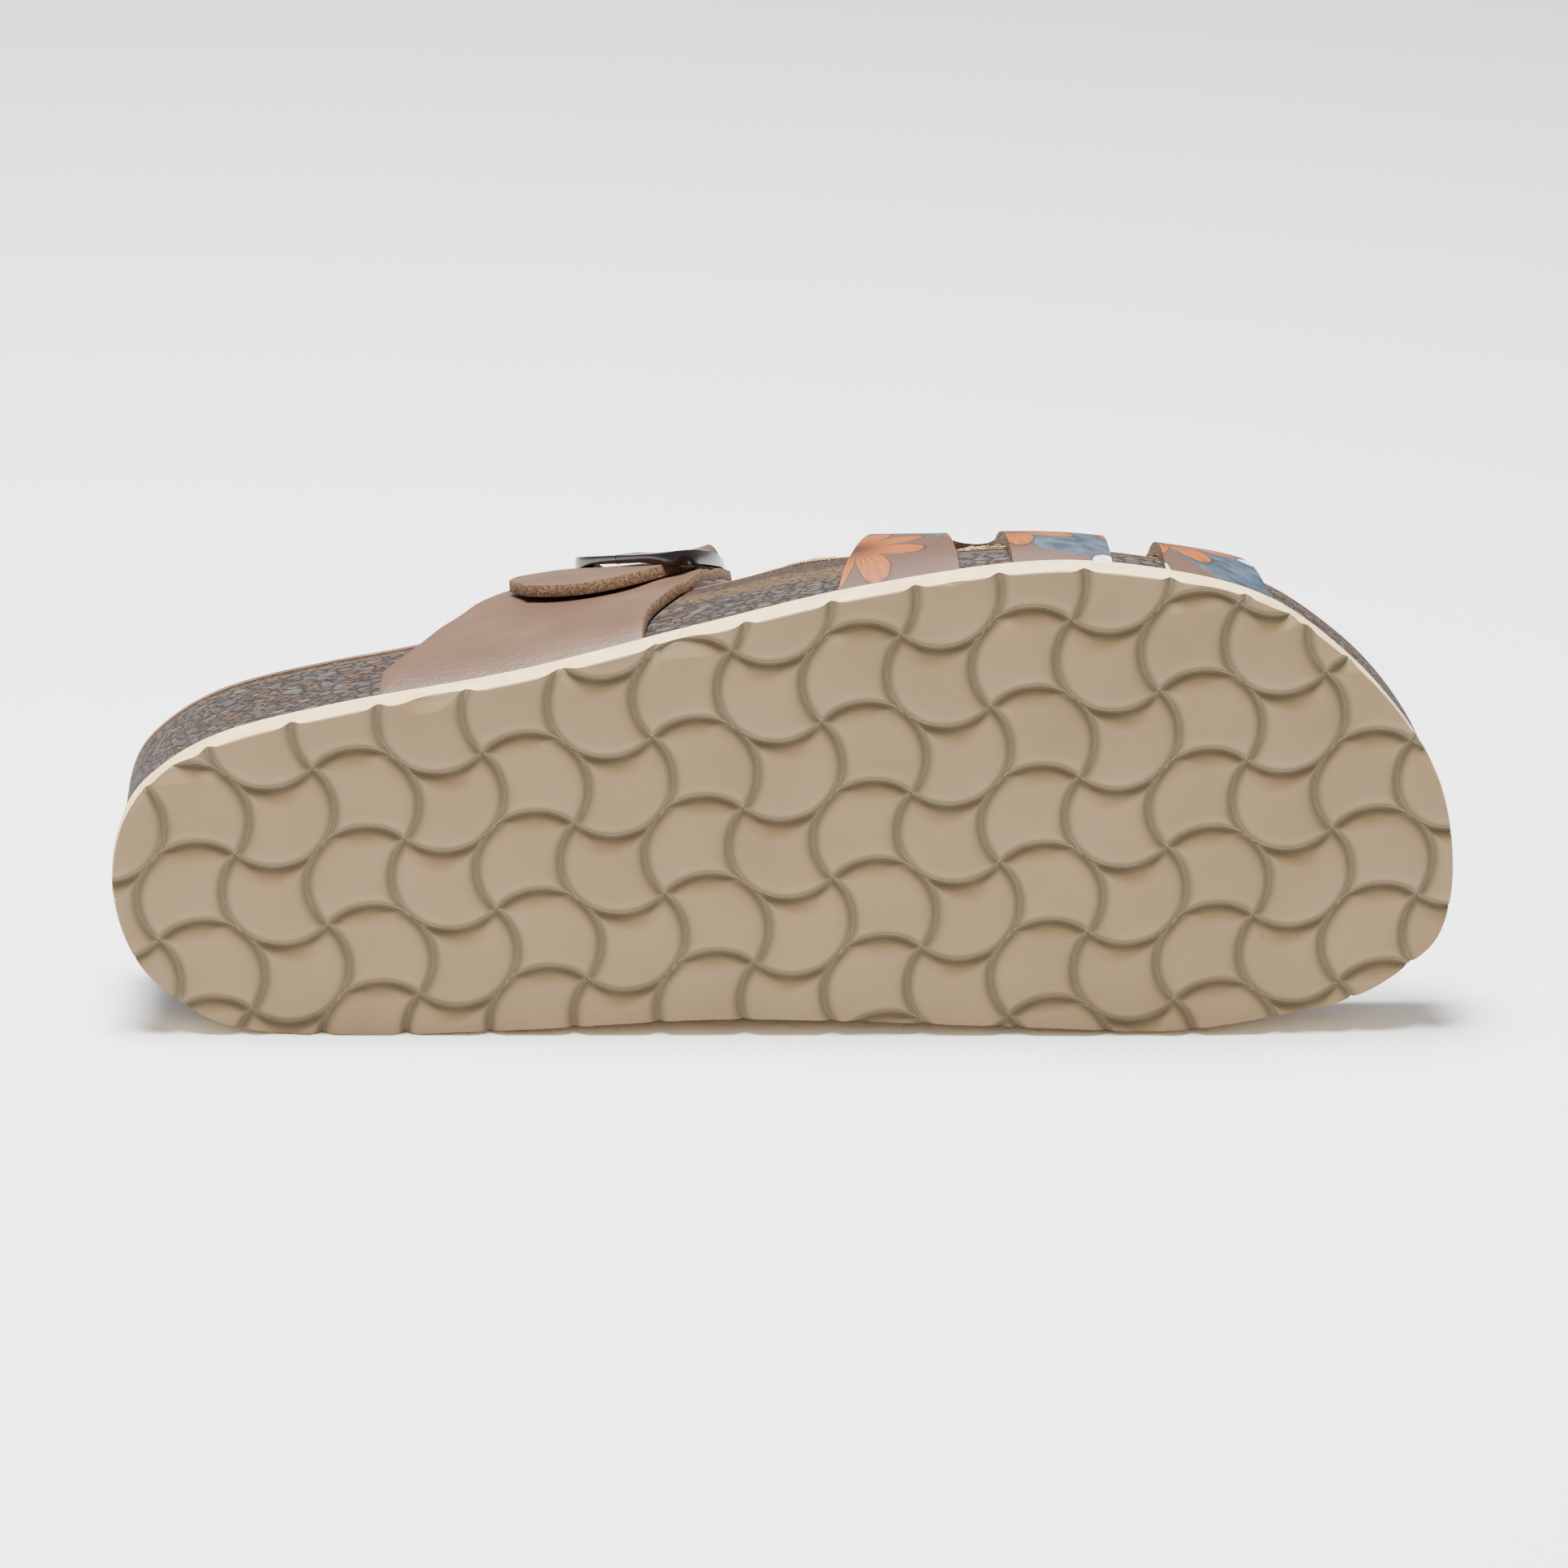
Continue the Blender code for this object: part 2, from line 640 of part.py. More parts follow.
def make_quarter(parts):
    """The broad outer strap that rises from the waist of the sole and carries the buckle."""
    grid = foot_rows(across(QUARTER[0].rear_x * MM, QUARTER[0].front_x * MM, QUARTER_COLUMNS), "outer")
    for row in smooth_rows(QUARTER, QUARTER_ROWS)[1:]:
        grid.append([row_point(row, share) for share in across(0.0, 1.0, QUARTER_COLUMNS)])
    return sheet("instep_quarter", grid, LEATHER, parts)


def make_strap(parts, guides):
    """The strap from the inner side over the instep, through the buckle to its rounded tip."""
    grid = foot_rows(across(STRAP[0].rear_x * MM, STRAP[0].front_x * MM, STRAP_COLUMNS), "inner")
    for row in smooth_rows(STRAP, STRAP_ROWS)[1:]:
        grid.append([row_point(row, share) for share in across(0.0, 1.0, STRAP_COLUMNS)])
    strap = sheet("instep_strap", grid, LEATHER, parts, outward=False)
    add_boolean(strap, strap_hole(guides), "DIFFERENCE")
    return strap


def strap_place(step, share, lift):
    """A point over the strap: step counts rows of its table, share runs across its width."""
    keys = list(range(len(STRAP)))
    row = Row(*(hermite(keys, [float(r[c]) for r in STRAP], step) for c in range(len(Row._fields))))
    x = (row.rear_x + (row.front_x - row.rear_x) * share) * MM
    turn = row.rear_turn + (row.front_turn - row.rear_turn) * share
    return last_point(x, turn) + last_normal(x, turn) * lift


def frame_lift(step):
    """Lift of the frame's underside: over the strap at its end, down on the quarter at its bar."""
    slope = min(max((step - BAR_STEP) / FRAME_BEND, 0.0), 1.0)
    return BAR_LIFT + (FRAME_LIFT - BAR_LIFT) * slope * slope * (3 - 2 * slope)


def make_frame(parts):
    """The buckle's frame: a flat rail round a rounded rectangle, bent down to its bar."""
    middle, half = (BAR_STEP + FRAME_END_STEP) / 2, (FRAME_END_STEP - BAR_STEP) / 2
    vertices = []
    for i in range(FRAME_TURNS):
        angle = 2 * pi * (i + 0.5) / FRAME_TURNS
        along = abs(cos(angle)) ** FRAME_CORNER * (1 if cos(angle) > 0 else -1)
        aside = abs(sin(angle)) ** FRAME_CORNER * (1 if sin(angle) > 0 else -1)
        for rail, rise in ((0, 0.0), (1, 0.0), (1, FRAME_THICKNESS), (0, FRAME_THICKNESS)):
            step = middle + along * (half + rail * RAIL_STEP)
            share = 0.5 + aside * (FRAME_SIDE + rail * RAIL_SHARE)
            vertices.append(strap_place(step, share, frame_lift(step) + rise))
    faces = []
    for i in range(FRAME_TURNS):
        a, b = 4 * i, 4 * ((i + 1) % FRAME_TURNS)
        faces += [(a + k, a + (k + 1) % 4, b + (k + 1) % 4, b + k) for k in range(4)]
    frame = new_object("buckle_frame", vertices, faces, parts)
    face_outwards(frame)
    return frame


def make_keeper(name, middle, parts):
    """A small leather saddle that holds the buckle's bar down on the quarter."""
    bar = BAR_STEP - RAIL_STEP / 2
    shares = [middle - KEEPER_HALF_WIDTH, middle, middle + KEEPER_HALF_WIDTH]
    grid = [[strap_place(bar + step, share, lift) for share in shares] for step, lift in KEEPER_PROFILE]
    return sheet(name, grid, KEEPER, parts, outward=False)


def make_prong(parts):
    """The pin: from the bar up through the strap's hole, and along it to the far rail."""
    line = [strap_place(step, 0.5, lift) for step, lift in PRONG_ROUTE]
    above = [strap_place(step, 0.5, lift + PRONG_RADIUS) for step, lift in PRONG_ROUTE]
    vertices, last = [], len(line) - 1
    for i, point in enumerate(line):
        along = (line[min(i + 1, last)] - line[max(i - 1, 0)]).normalized()
        aside = along.cross(above[i] - point).normalized()
        upward = aside.cross(along)
        for k in range(PRONG_SIDES):
            angle = 2 * pi * k / PRONG_SIDES
            vertices.append(point + (aside * cos(angle) + upward * sin(angle)) * PRONG_RADIUS)
    faces = [tuple(range(PRONG_SIDES)), tuple(last * PRONG_SIDES + k for k in range(PRONG_SIDES))]
    for i in range(last):
        for k in range(PRONG_SIDES):
            a, b = i * PRONG_SIDES + k, i * PRONG_SIDES + (k + 1) % PRONG_SIDES
            faces.append((a, b, b + PRONG_SIDES, a + PRONG_SIDES))
    prong = new_object("buckle_prong", vertices, faces, parts)
    face_outwards(prong)
    return prong


def strap_hole(guides):
    """The oval hole in the strap that the prong comes up through."""
    inner, outer, sides = [], [], HOLE_SIDES
    for i in range(sides):
        angle = 2 * pi * i / sides
        step, share = HOLE_STEP + HOLE_HALF_LENGTH * cos(angle), 0.5 + HOLE_HALF_WIDTH * sin(angle)
        inner.append(strap_place(step, share, HOLE_FLOOR))
        outer.append(strap_place(step, share, HOLE_FLOOR + HOLE_REACH))
    faces = [tuple(range(sides)), tuple(reversed(range(sides, 2 * sides)))]
    faces += [(i, sides + i, sides + (i + 1) % sides, (i + 1) % sides) for i in range(sides)]
    hole = new_object("strap_hole", inner + outer, faces, guides)
    face_outwards(hole)
    as_guide(hole)
    return hole


def add_material(thing, look):
    """Give a piece a material of its own name."""
    material = bpy.data.materials.new(thing.name)
    material.use_nodes = True
    shader = material.node_tree.nodes["Principled BSDF"]
    shader.inputs["Base Color"].default_value = (*look.colour, 1.0)
    shader.inputs["Roughness"].default_value = look.roughness
    shader.inputs["Metallic"].default_value = look.metallic
    thing.data.materials.clear()
    thing.data.materials.append(material)


def lay_down(parts, guides):
    """Lay every piece, and what cuts it, on the inner side of the sandal, on the floor at z = 0."""
    axes = bpy.data.objects.new("sandal_axes", None)
    bpy.context.scene.collection.objects.link(axes)
    turned = Matrix.Rotation(REST_LEAN - pi / 2, 4, "X") @ Matrix.Rotation(REST_YAW, 4, "Z")
    corners = [turned @ v.co for thing in parts.objects for v in finished_mesh(thing).vertices]
    low = Vector([min(c[i] for c in corners) for i in range(3)])
    high = Vector([max(c[i] for c in corners) for i in range(3)])
    middle = Vector(((low.x + high.x) / 2, (low.y + high.y) / 2, low.z))
    axes.matrix_world = Matrix.Translation(-middle) @ turned
    for thing in list(parts.objects) + list(guides.objects):
        thing.parent = axes


def main():
    clear_scene()
    parts = bpy.data.collections.new("cork_footbed_sandal")
    guides = bpy.data.collections.new("cutters")
    for collection in (parts, guides):
        bpy.context.scene.collection.children.link(collection)
    for thing, look in (
            (make_outsole(parts, guides), CREAM_FOAM),
            (make_cork(parts, guides), CORK),
            (make_liner(parts), SUEDE),
            (make_vamp(parts, guides), PRINTED_LEATHER),
            (make_quarter(parts), PLAIN_LEATHER),
            (make_strap(parts, guides), PLAIN_LEATHER),
            (make_keeper("buckle_keeper_upper", UPPER_KEEPER_SHARE, parts), PLAIN_LEATHER),
            (make_keeper("buckle_keeper_lower", LOWER_KEEPER_SHARE, parts), PLAIN_LEATHER),
            (make_frame(parts), GUNMETAL),
            (make_prong(parts), GUNMETAL)):
        add_material(thing, look)
    lay_down(parts, guides)


main()
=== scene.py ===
# %% [markdown]
# A cork footbed sandal, dressed
# The solids of the sandal come in with the frame, lying as they rest.  This lesson draws each piece
# again, finer, on the same shapes, gives it the surface of what it is made of, and lights it as in a
# small studio.  A right sandal lies on its inner side and shows its tread.

# %% Load the frame
from bisect import bisect_right
from collections import namedtuple
from math import acos, cos, hypot, pi, radians, sin, sqrt

import bmesh
import bpy
from mathutils import Matrix, Vector
from mathutils.kdtree import KDTree


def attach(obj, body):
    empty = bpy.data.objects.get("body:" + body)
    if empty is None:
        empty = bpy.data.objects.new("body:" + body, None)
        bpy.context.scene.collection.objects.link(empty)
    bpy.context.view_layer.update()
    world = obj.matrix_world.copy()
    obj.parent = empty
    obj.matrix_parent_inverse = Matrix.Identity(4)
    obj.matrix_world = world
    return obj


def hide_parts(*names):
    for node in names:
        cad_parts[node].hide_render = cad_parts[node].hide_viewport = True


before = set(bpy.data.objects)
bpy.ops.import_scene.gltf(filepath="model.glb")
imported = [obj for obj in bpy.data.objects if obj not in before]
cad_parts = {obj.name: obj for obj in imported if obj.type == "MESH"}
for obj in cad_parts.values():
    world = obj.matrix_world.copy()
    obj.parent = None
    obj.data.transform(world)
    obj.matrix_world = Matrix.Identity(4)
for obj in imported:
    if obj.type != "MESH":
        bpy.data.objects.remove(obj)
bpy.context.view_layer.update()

MM = 0.001
print("solids:", sorted(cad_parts))

# %% [markdown]
# Colours are written as the eye picks them, in sRGB hex, and the renderer wants linear light, so one
# function turns them.  A second one adds a node with its settings and links, for materials and for
# Geometry Nodes alike.  The rest are shorthands for the few nodes that come up again and again.

# %% Colours and nodes


def linear(code):
    """sRGB hex to linear red, green, blue and alpha."""
    parts = [int(code[i:i + 2], 16) / 255 for i in (1, 3, 5)]
    return (*(p / 12.92 if p <= 0.04045 else ((p + 0.055) / 1.055) ** 2.4 for p in parts), 1.0)


def add(tree, kind, inputs=(), **settings):
    """Add a node; inputs maps a socket to a value or to the output that feeds it."""
    node = tree.nodes.new(kind)
    for name, value in settings.items():
        setattr(node, name, value)
    for socket, value in dict(inputs).items():
        if isinstance(value, bpy.types.NodeSocket):
            tree.links.new(value, node.inputs[socket])
        else:
            node.inputs[socket].default_value = value
    return node


def material(name, roughness, metallic=0.0, colour=None):
    """A new material, with its tree and its shader."""
    made = bpy.data.materials.new(name)
    made.use_nodes = True
    shader = made.node_tree.nodes["Principled BSDF"]
    shader.inputs["Roughness"].default_value = roughness
    shader.inputs["Metallic"].default_value = metallic
    if colour:
        shader.inputs["Base Color"].default_value = linear(colour)
    return made, made.node_tree, shader


def ramp(tree, factor, stops):
    """Colours along a factor from 0 to 1; stops are (place, hex)."""
    node = add(tree, "ShaderNodeValToRGB", {"Fac": factor})
    while len(node.color_ramp.elements) < len(stops):
        node.color_ramp.elements.new(0.5)
    for element, (place, code) in zip(node.color_ramp.elements, stops):
        element.position = place
        element.color = linear(code)
    return node.outputs["Color"]


def mix(tree, factor, first, second, blend="MIX"):
    """First colour where the factor is 0, second where it is 1."""
    node = add(tree, "ShaderNodeMix", data_type="RGBA", blend_type=blend)
    for index, value in ((0, factor), (6, first), (7, second)):
        if isinstance(value, bpy.types.NodeSocket):
            tree.links.new(value, node.inputs[index])
        else:
            node.inputs[index].default_value = value
    return node.outputs[2]


def maths(tree, operation, *values):
    """One step of arithmetic on numbers."""
    return add(tree, "ShaderNodeMath", enumerate(values), operation=operation).outputs[0]


def vectors(tree, operation, *values):
    """One step of arithmetic on vectors."""
    return add(tree, "ShaderNodeVectorMath", enumerate(values), operation=operation).outputs[0]


def fade(tree, value, start, end, low=0.0, high=1.0, **settings):
    """Low up to the start, high from the end on, and a slope between them."""
    return add(tree, "ShaderNodeMapRange", {"Value": value, "From Min": start, "From Max": end,
                                            "To Min": low, "To Max": high}, **settings).outputs[0]


def place_on(tree):
    """The place on the object, in metres."""
    return add(tree, "ShaderNodeTexCoord").outputs["Object"]


def noise(tree, where, scale, detail, roughness=0.5):
    """Soft noise from 0 to 1, with so many swings to the metre."""
    return add(tree, "ShaderNodeTexNoise", {"Vector": where, "Scale": scale, "Detail": detail,
                                            "Roughness": roughness}).outputs["Fac"]


def surface(tree, shader, colour, height, depth, strength):
    """Give the shader a colour, and a height from 0 to 1 as bumps of a depth in metres."""
    bump = add(tree, "ShaderNodeBump", {"Height": height, "Distance": depth, "Strength": strength})
    tree.links.new(colour, shader.inputs["Base Color"])
    tree.links.new(bump.outputs["Normal"], shader.inputs["Normal"])


print("linear of mid grey:", round(linear("#808080")[0], 3))

# %% [markdown]
# The sandal's shape is held by a few tables, in millimetres and in its own upright frame: x runs from
# the heel to the toe, y to the inner side, z up from the ground.  The outline is the sole's edge, the
# footbed gives rims, seat and swell, and the last gives the foot's roof that the straps lie on.

# %% Tables of the shape
SOLE_LENGTH = 0.2493
SOLE_THICKNESS = 0.0075
TOE_SPRING, TOE_SPRING_START = 0.004, 0.180
CORK_INSET = 0.0012
LINER = 0.0017
LEATHER = 0.0024
GAP = 0.0003
SWELL_HEIGHT = 0.036
SPINE_START, SPINE_END = 0.034, 0.215

OUTLINE = dict(
    x=(0, 2.5, 6.8, 20, 43, 75, 110, 140, 173, 196, 214, 230.5, 241.5, 247, 249.3),
    outer=(6, -6.5, -12.4, -20.5, -25.7, -30.4, -38.1, -44.2, -47.5, -44.5, -38.4, -25, -10.8, 1, 18),
    inner=(6, 19, 26, 35.4, 38.5, 39.2, 39, 41.1, 44.1, 45.9, 44.4, 41.6, 35.6, 30, 18))
FOOTBED = dict(
    x=(0, 20, 50, 92, 118, 140, 163, 192, 214, 235, 249.3),
    outer_rim=(26, 27.5, 27, 29.5, 30.5, 22, 15, 11.5, 12, 13, 12),
    inner_rim=(26, 28, 30, 34, 31, 24, 16, 11.5, 10.5, 10.5, 10.5),
    seat=(14, 12.5, 12.5, 16, 15, 12.5, 9, 7, 7.5, 6.8, 6.5),
    swell=(0, 0, 1, 5, 4, 1.5, 0, 0, 0, 0, 0),
    lean=(1.6, 1.2, 0.5, 0, 0, 0, 0, -0.4, -2.0, -3.6, -3.8))
LAST = dict(
    x=(0, 50, 70, 90, 105, 120, 135, 160, 185, 214, 249.3),
    crown=(260, 93, 87, 79, 73, 68, 63, 51, 41, 37, 60),
    power=(2.6, 2.4, 2.5, 2.1, 1.95, 2.0, 2.4, 2.2, 2.2, 2.4, 2.4))


def station_of(x):
    """Where x lies from heel 0 to toe 1, with the round ends stretched so curves stay smooth."""
    return acos(1.0 - 2.0 * min(max(x / SOLE_LENGTH, 0.0), 1.0)) / pi


def hermite(keys, values, key):
    """A smooth curve through the values, with the slope at each one taken from its neighbours."""
    last = len(keys) - 1
    index = min(max(bisect_right(keys, key) - 1, 0), last - 1)
    slopes = []
    for i in (index, index + 1):
        before, after = max(i - 1, 0), min(i + 1, last)
        slopes.append((values[after] - values[before]) / (keys[after] - keys[before]))
    span = keys[index + 1] - keys[index]
    t = (key - keys[index]) / span
    start = values[index] * (1 + 2 * t) + span * slopes[0] * t
    end = values[index + 1] * (3 - 2 * t) - span * slopes[1] * (1 - t)
    return start * (1 - t) ** 2 + end * t ** 2


def curve_of(table, column, unit=MM):
    """A function of x in metres for one column of a table."""
    keys = [station_of(x * MM) for x in table["x"]]
    values = [v * unit for v in table[column]]
    return lambda x: hermite(keys, values, station_of(x))


edge_y = {side: curve_of(OUTLINE, side) for side in ("outer", "inner")}
rim_z = {side: curve_of(FOOTBED, side + "_rim") for side in ("outer", "inner")}
seat_z, swell_y, lean_y = (curve_of(FOOTBED, name) for name in ("seat", "swell", "lean"))
crown_z, squareness = curve_of(LAST, "crown"), curve_of(LAST, "power", 1.0)
print("ball width in mm:", round((edge_y["inner"](0.173) - edge_y["outer"](0.173)) / MM, 1))

# %% [markdown]
# From the tables come points: on the sole's edge, on the side wall at a height, and on the last at a
# turn in degrees, from 0 at the outer foot over the crown at 90 to 180 at the inner foot.  All pieces
# are drawn with these, so they meet without fitting.

# %% Points of the shape


def spring(x):
    """How far the toe end curves up from the floor."""
    return TOE_SPRING * max(0.0, (x - TOE_SPRING_START) / (SOLE_LENGTH - TOE_SPRING_START)) ** 2


def edge_and_spine(x, side):
    """The sole's edge at x, and the point of its middle line that rings are drawn round."""
    inside = min(max(x, SPINE_START), SPINE_END)
    middle = (edge_y["outer"](inside) + edge_y["inner"](inside)) / 2
    return Vector((x, edge_y[side](x))), Vector((inside, middle))


def wall_point(x, side, height, gap=0.0):
    """A point of the side wall at a height over the sole: the inside face of any strap on it."""
    edge, spine = edge_and_spine(x, side)
    outward = (edge - spine).normalized()
    ramp_up = min(height / SWELL_HEIGHT, 1.0)
    swell = swell_y(x) if side == "inner" else 0.0
    swell = swell * ramp_up * ramp_up * (3 - 2 * ramp_up)
    edge = edge + outward * (swell - lean_y(x) * ramp_up - CORK_INSET)
    power = squareness(x)
    narrowing = (1.0 - min(max(height, 0.0) / crown_z(x), 1.0) ** power) ** (1.0 / power)
    flat = spine + (edge - spine) * narrowing - outward * gap
    return Vector((flat.x, flat.y, SOLE_THICKNESS + height + spring(x)))


FOOT_SINK, FOOT_HEIGHT = 0.0019, 0.009


def strap_foot(x, side, height):
    """A wall point for a strap, which is pared thin at its foot: there its outside is drawn in."""
    low = max(0.0, 1.0 - height / FOOT_HEIGHT)
    return wall_point(x, side, height, FOOT_SINK * low * low)


def last_point(x, turn):
    """A point of the last at x, turn degrees round."""
    side, angle = ("outer", turn) if turn < 90.0 else ("inner", 180.0 - turn)
    return strap_foot(x, side, crown_z(x) * sin(radians(angle)) ** (2.0 / squareness(x)))


def last_normal(x, turn):
    """Outward direction of the last at a point."""
    turn = min(max(turn, 1.0), 179.0)
    along = last_point(x + 0.0005, turn) - last_point(x - 0.0005, turn)
    around = last_point(x, turn + 0.5) - last_point(x, turn - 0.5)
    return along.cross(around).normalized()


def across(start, end, count):
    """Evenly spaced values from start to end."""
    return [start + (end - start) * i / (count - 1) for i in range(count)]


def circle(count):
    """Angles evenly round a circle."""
    return across(0, 2 * pi, count + 1)[:-1]


STATIONS = 120


def ring_of(point_at):
    """A closed loop round the sole: the outer side from heel to toe, then the inner side back."""
    places = [SOLE_LENGTH * (1 - cos(pi * i / STATIONS)) / 2 for i in range(STATIONS + 1)]
    outer = [point_at(x, "outer") for x in places]
    return outer + [point_at(x, "inner") for x in places[1:-1]][::-1]


def flat_ring(inset, z):
    """A loop at one height, parallel to the tread's outline."""
    def place(x, side):
        edge, spine = edge_and_spine(x, side)
        flat = edge - (edge - spine).normalized() * inset
        return Vector((flat.x, flat.y, z))
    return ring_of(place)


print("highest point of the last in mm:", round(last_point(0.100, 90).z / MM, 1))

# %% [markdown]
# The sandal lies on its inner side.  A piece is drawn upright, and its place is then put into its
# mesh with one matrix: a turn in the plane of the sole, a lean onto its side, and a move to the
# floor.  The object itself stays at the origin, and rides on the frame's only body.

# %% How a piece is finished
REST_YAW, REST_LEAN = radians(-3.10), radians(4.16)
REST_PLACE = Vector((-0.125117, -0.041528, 0.035897))
LAY = (Matrix.Translation(REST_PLACE) @ Matrix.Rotation(REST_LEAN - pi / 2, 4, "X")
       @ Matrix.Rotation(REST_YAW, 4, "Z"))
SMOOTH_UNDER = radians(38)


def link(name, data):
    """A new object for some data, in the scene."""
    thing = bpy.data.objects.new(name, data)
    bpy.context.scene.collection.objects.link(thing)
    return thing


def new_object(name, vertices, faces, edges=()):
    """An object from its vertices and faces, or from bare edges."""
    mesh = bpy.data.meshes.new(name)
    mesh.from_pydata([tuple(v) for v in vertices], edges, faces)
    mesh.validate()
    return link(name, mesh)


def face_outwards(thing):
    """Turn every face of a closed mesh outwards."""
    edit = bmesh.new()
    edit.from_mesh(thing.data)
    bmesh.ops.recalc_face_normals(edit, faces=edit.faces)
    edit.to_mesh(thing.data)
    edit.free()


def quads(levels, count, closed=True):
    """Faces between rows of count vertices, stacked in levels; closed rows are loops."""
    return [(low + i, low + (i + 1) % count, low + count + (i + 1) % count, low + count + i)
            for low in range(0, (levels - 1) * count, count) for i in range(count if closed else count - 1)]


def ring_solid(name, rings):
    """A closed solid through a stack of loops, its first and last loops filled across."""
    count = len(rings[0])
    faces = quads(len(rings), count)
    for base in (0, (len(rings) - 1) * count):
        for i in range(STATIONS):
            corners = dict.fromkeys((i, i + 1, (count - i - 1) % count, (count - i) % count))
            faces.append(tuple(base + c for c in corners))
    thing = new_object(name, [p for ring in rings for p in ring], faces)
    face_outwards(thing)
    return thing


def baked(thing):
    """Carry out an object's modifiers and keep the plain mesh."""
    bpy.context.view_layer.update()
    mesh = bpy.data.meshes.new_from_object(thing.evaluated_get(bpy.context.evaluated_depsgraph_get()))
    thing.modifiers.clear()
    thing.data = mesh
    return thing


def boolean(thing, cutter):
    """Cut a piece with another object, and remove that object."""
    step = thing.modifiers.new("cut", "BOOLEAN")
    step.operation, step.object, step.solver = "DIFFERENCE", cutter, "EXACT"
    baked(thing)
    bpy.data.objects.remove(cutter, do_unlink=True)


def keep(thing, materials, node=None):
    """Finish a piece: materials, smooth faces, its place in its mesh, and the body it rides on."""
    indices = [face.material_index for face in thing.data.polygons]
    thing.data.materials.clear()
    for each in materials:
        thing.data.materials.append(each)
    thing.data.polygons.foreach_set("material_index", indices)
    thing.data.shade_smooth()
    thing.data.set_sharp_from_angle(angle=SMOOTH_UNDER)
    thing.data.transform(LAY)
    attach(thing, "root")
    if node:
        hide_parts(node)
    triangles = sum(len(face.vertices) - 2 for face in thing.data.polygons)
    print(thing.name, "triangles:", triangles)


print("the sandal leans", round(REST_LEAN * 180 / pi, 2), "degrees from square")

# %% [markdown]
# The tread is one wavy pattern: a square lattice whose every cell edge is a quarter circle, bulging
# by turns to one side and the other.  That gives four kinds of pad, and the same four repeat over
# the whole sole.  Two opposite edges of a pad are one arc moved along, so a pad is the sum of two
# arcs, which makes a neat grid.  Its height falls off towards the nearest groove, and along one
# edge a shallow facet, a crescent in plan, is taken off it.

# %% One pad of each kind
TREAD_PITCH = 0.0156
TREAD_TURN = radians(2.8)
TREAD_ORIGIN = Vector((0.0703, 0.0149, 0.0))
GROOVE_DEPTH = 0.0018
SHOULDER, SHOULDER_POWER = 0.0029, 1.8
PAD_GRID = [0, .012, .03, .055, .085, .12, .165, .23, .31, .40, .5]
PAD_GRID += [1 - t for t in PAD_GRID[-2::-1]]
RIM_CELLS = 3
FACET_GRID = [0, .2, .45, .7, .96, 1]
FACET_WIDTH, FACET_ENDS, FACET_DEPTH = 0.23, 0.05, 0.0017
ARC_SAMPLES = 40


def arc_point(bulge, t):
    """A quarter circle over a chord from 0 to 1, swelling to the side bulge, 1 or -1."""
    angle = radians(-45 + 90 * t)
    return 0.5 + sin(angle) / sqrt(2), bulge * (cos(angle) / sqrt(2) - 0.5)


def groove_height(distance):
    """How deep the tread lies at a distance from the middle of a groove."""
    share = min(distance / SHOULDER, 1.0)
    return GROOVE_DEPTH * (1 - share) ** SHOULDER_POWER


def cross_places(u):
    """Where the grid crosses a pad at u: close together over the facet, then evenly."""
    facet = FACET_ENDS + (FACET_WIDTH - FACET_ENDS) * sin(pi * u)
    start = PAD_GRID[RIM_CELLS]
    beyond = [facet + (1 - facet) * (v - start) / (1 - start) for v in PAD_GRID[RIM_CELLS + 1:-1]]
    return [facet * share for share in FACET_GRID] + beyond + [1], facet


def pad_mesh(name, side_bulge, end_bulge):
    """A pad as a grid over the sum of its two arcs, in its own corner at the origin."""
    def spot(u, v):
        along, aside = arc_point(side_bulge, u)
        end_aside, end_along = arc_point(end_bulge, v)
        return Vector(((along + end_along) * TREAD_PITCH, (aside + end_aside) * TREAD_PITCH))
    edges = [spot(t, v) for t in across(0, 1, ARC_SAMPLES) for v in (0, 1)]
    edges += [spot(u, t) for t in across(0, 1, ARC_SAMPLES) for u in (0, 1)]
    points = []
    for u in PAD_GRID:
        places, facet = cross_places(u)
        for v in places:
            flat = spot(u, v)
            distance = min((flat - edge).length for edge in edges)
            slope = FACET_DEPTH * max(0.0, 1 - v / facet) * sin(pi * u)
            on_edge = u in (0, 1) or v in (0, 1)
            depth = max(groove_height(distance), slope)
            points.append((flat.x, flat.y, GROOVE_DEPTH if on_edge else depth))
    n = len(places)
    faces = [(i * n + j, (i + 1) * n + j, (i + 1) * n + j + 1, i * n + j + 1)
             for i in range(len(PAD_GRID) - 1) for j in range(n - 1)]
    return new_object(name, points, faces)


PADS = {(row, column): pad_mesh("pad_%d%d" % (row, column), (-1, 1)[row], (1, -1)[column])
        for row in (0, 1) for column in (0, 1)}
print("vertices in a pad:", len(PADS[0, 0].data.vertices))

# %% [markdown]
# Geometry Nodes lay the pads out.  For each kind, a grid of points two pitches apart gets the pad as
# an instance; the four fields are joined, turned as the real pattern is, made real and merged where
# they touch.  Pitch, turn and counts are inputs of the tree, so another sole is one number away.

# %% Lay out the tread with Geometry Nodes


def group_with(name, sockets):
    """A Geometry Nodes group with a mesh out and named inputs: (name, kind, value)."""
    tree = bpy.data.node_groups.new(name, "GeometryNodeTree")
    tree.interface.new_socket("Geometry", in_out="OUTPUT", socket_type="NodeSocketGeometry")
    tree.interface.new_socket("Geometry", in_out="INPUT", socket_type="NodeSocketGeometry")
    for label, kind, value in sockets:
        socket = tree.interface.new_socket(label, in_out="INPUT", socket_type=kind)
        if value is not None:
            socket.default_value = value
    return tree, add(tree, "NodeGroupInput").outputs


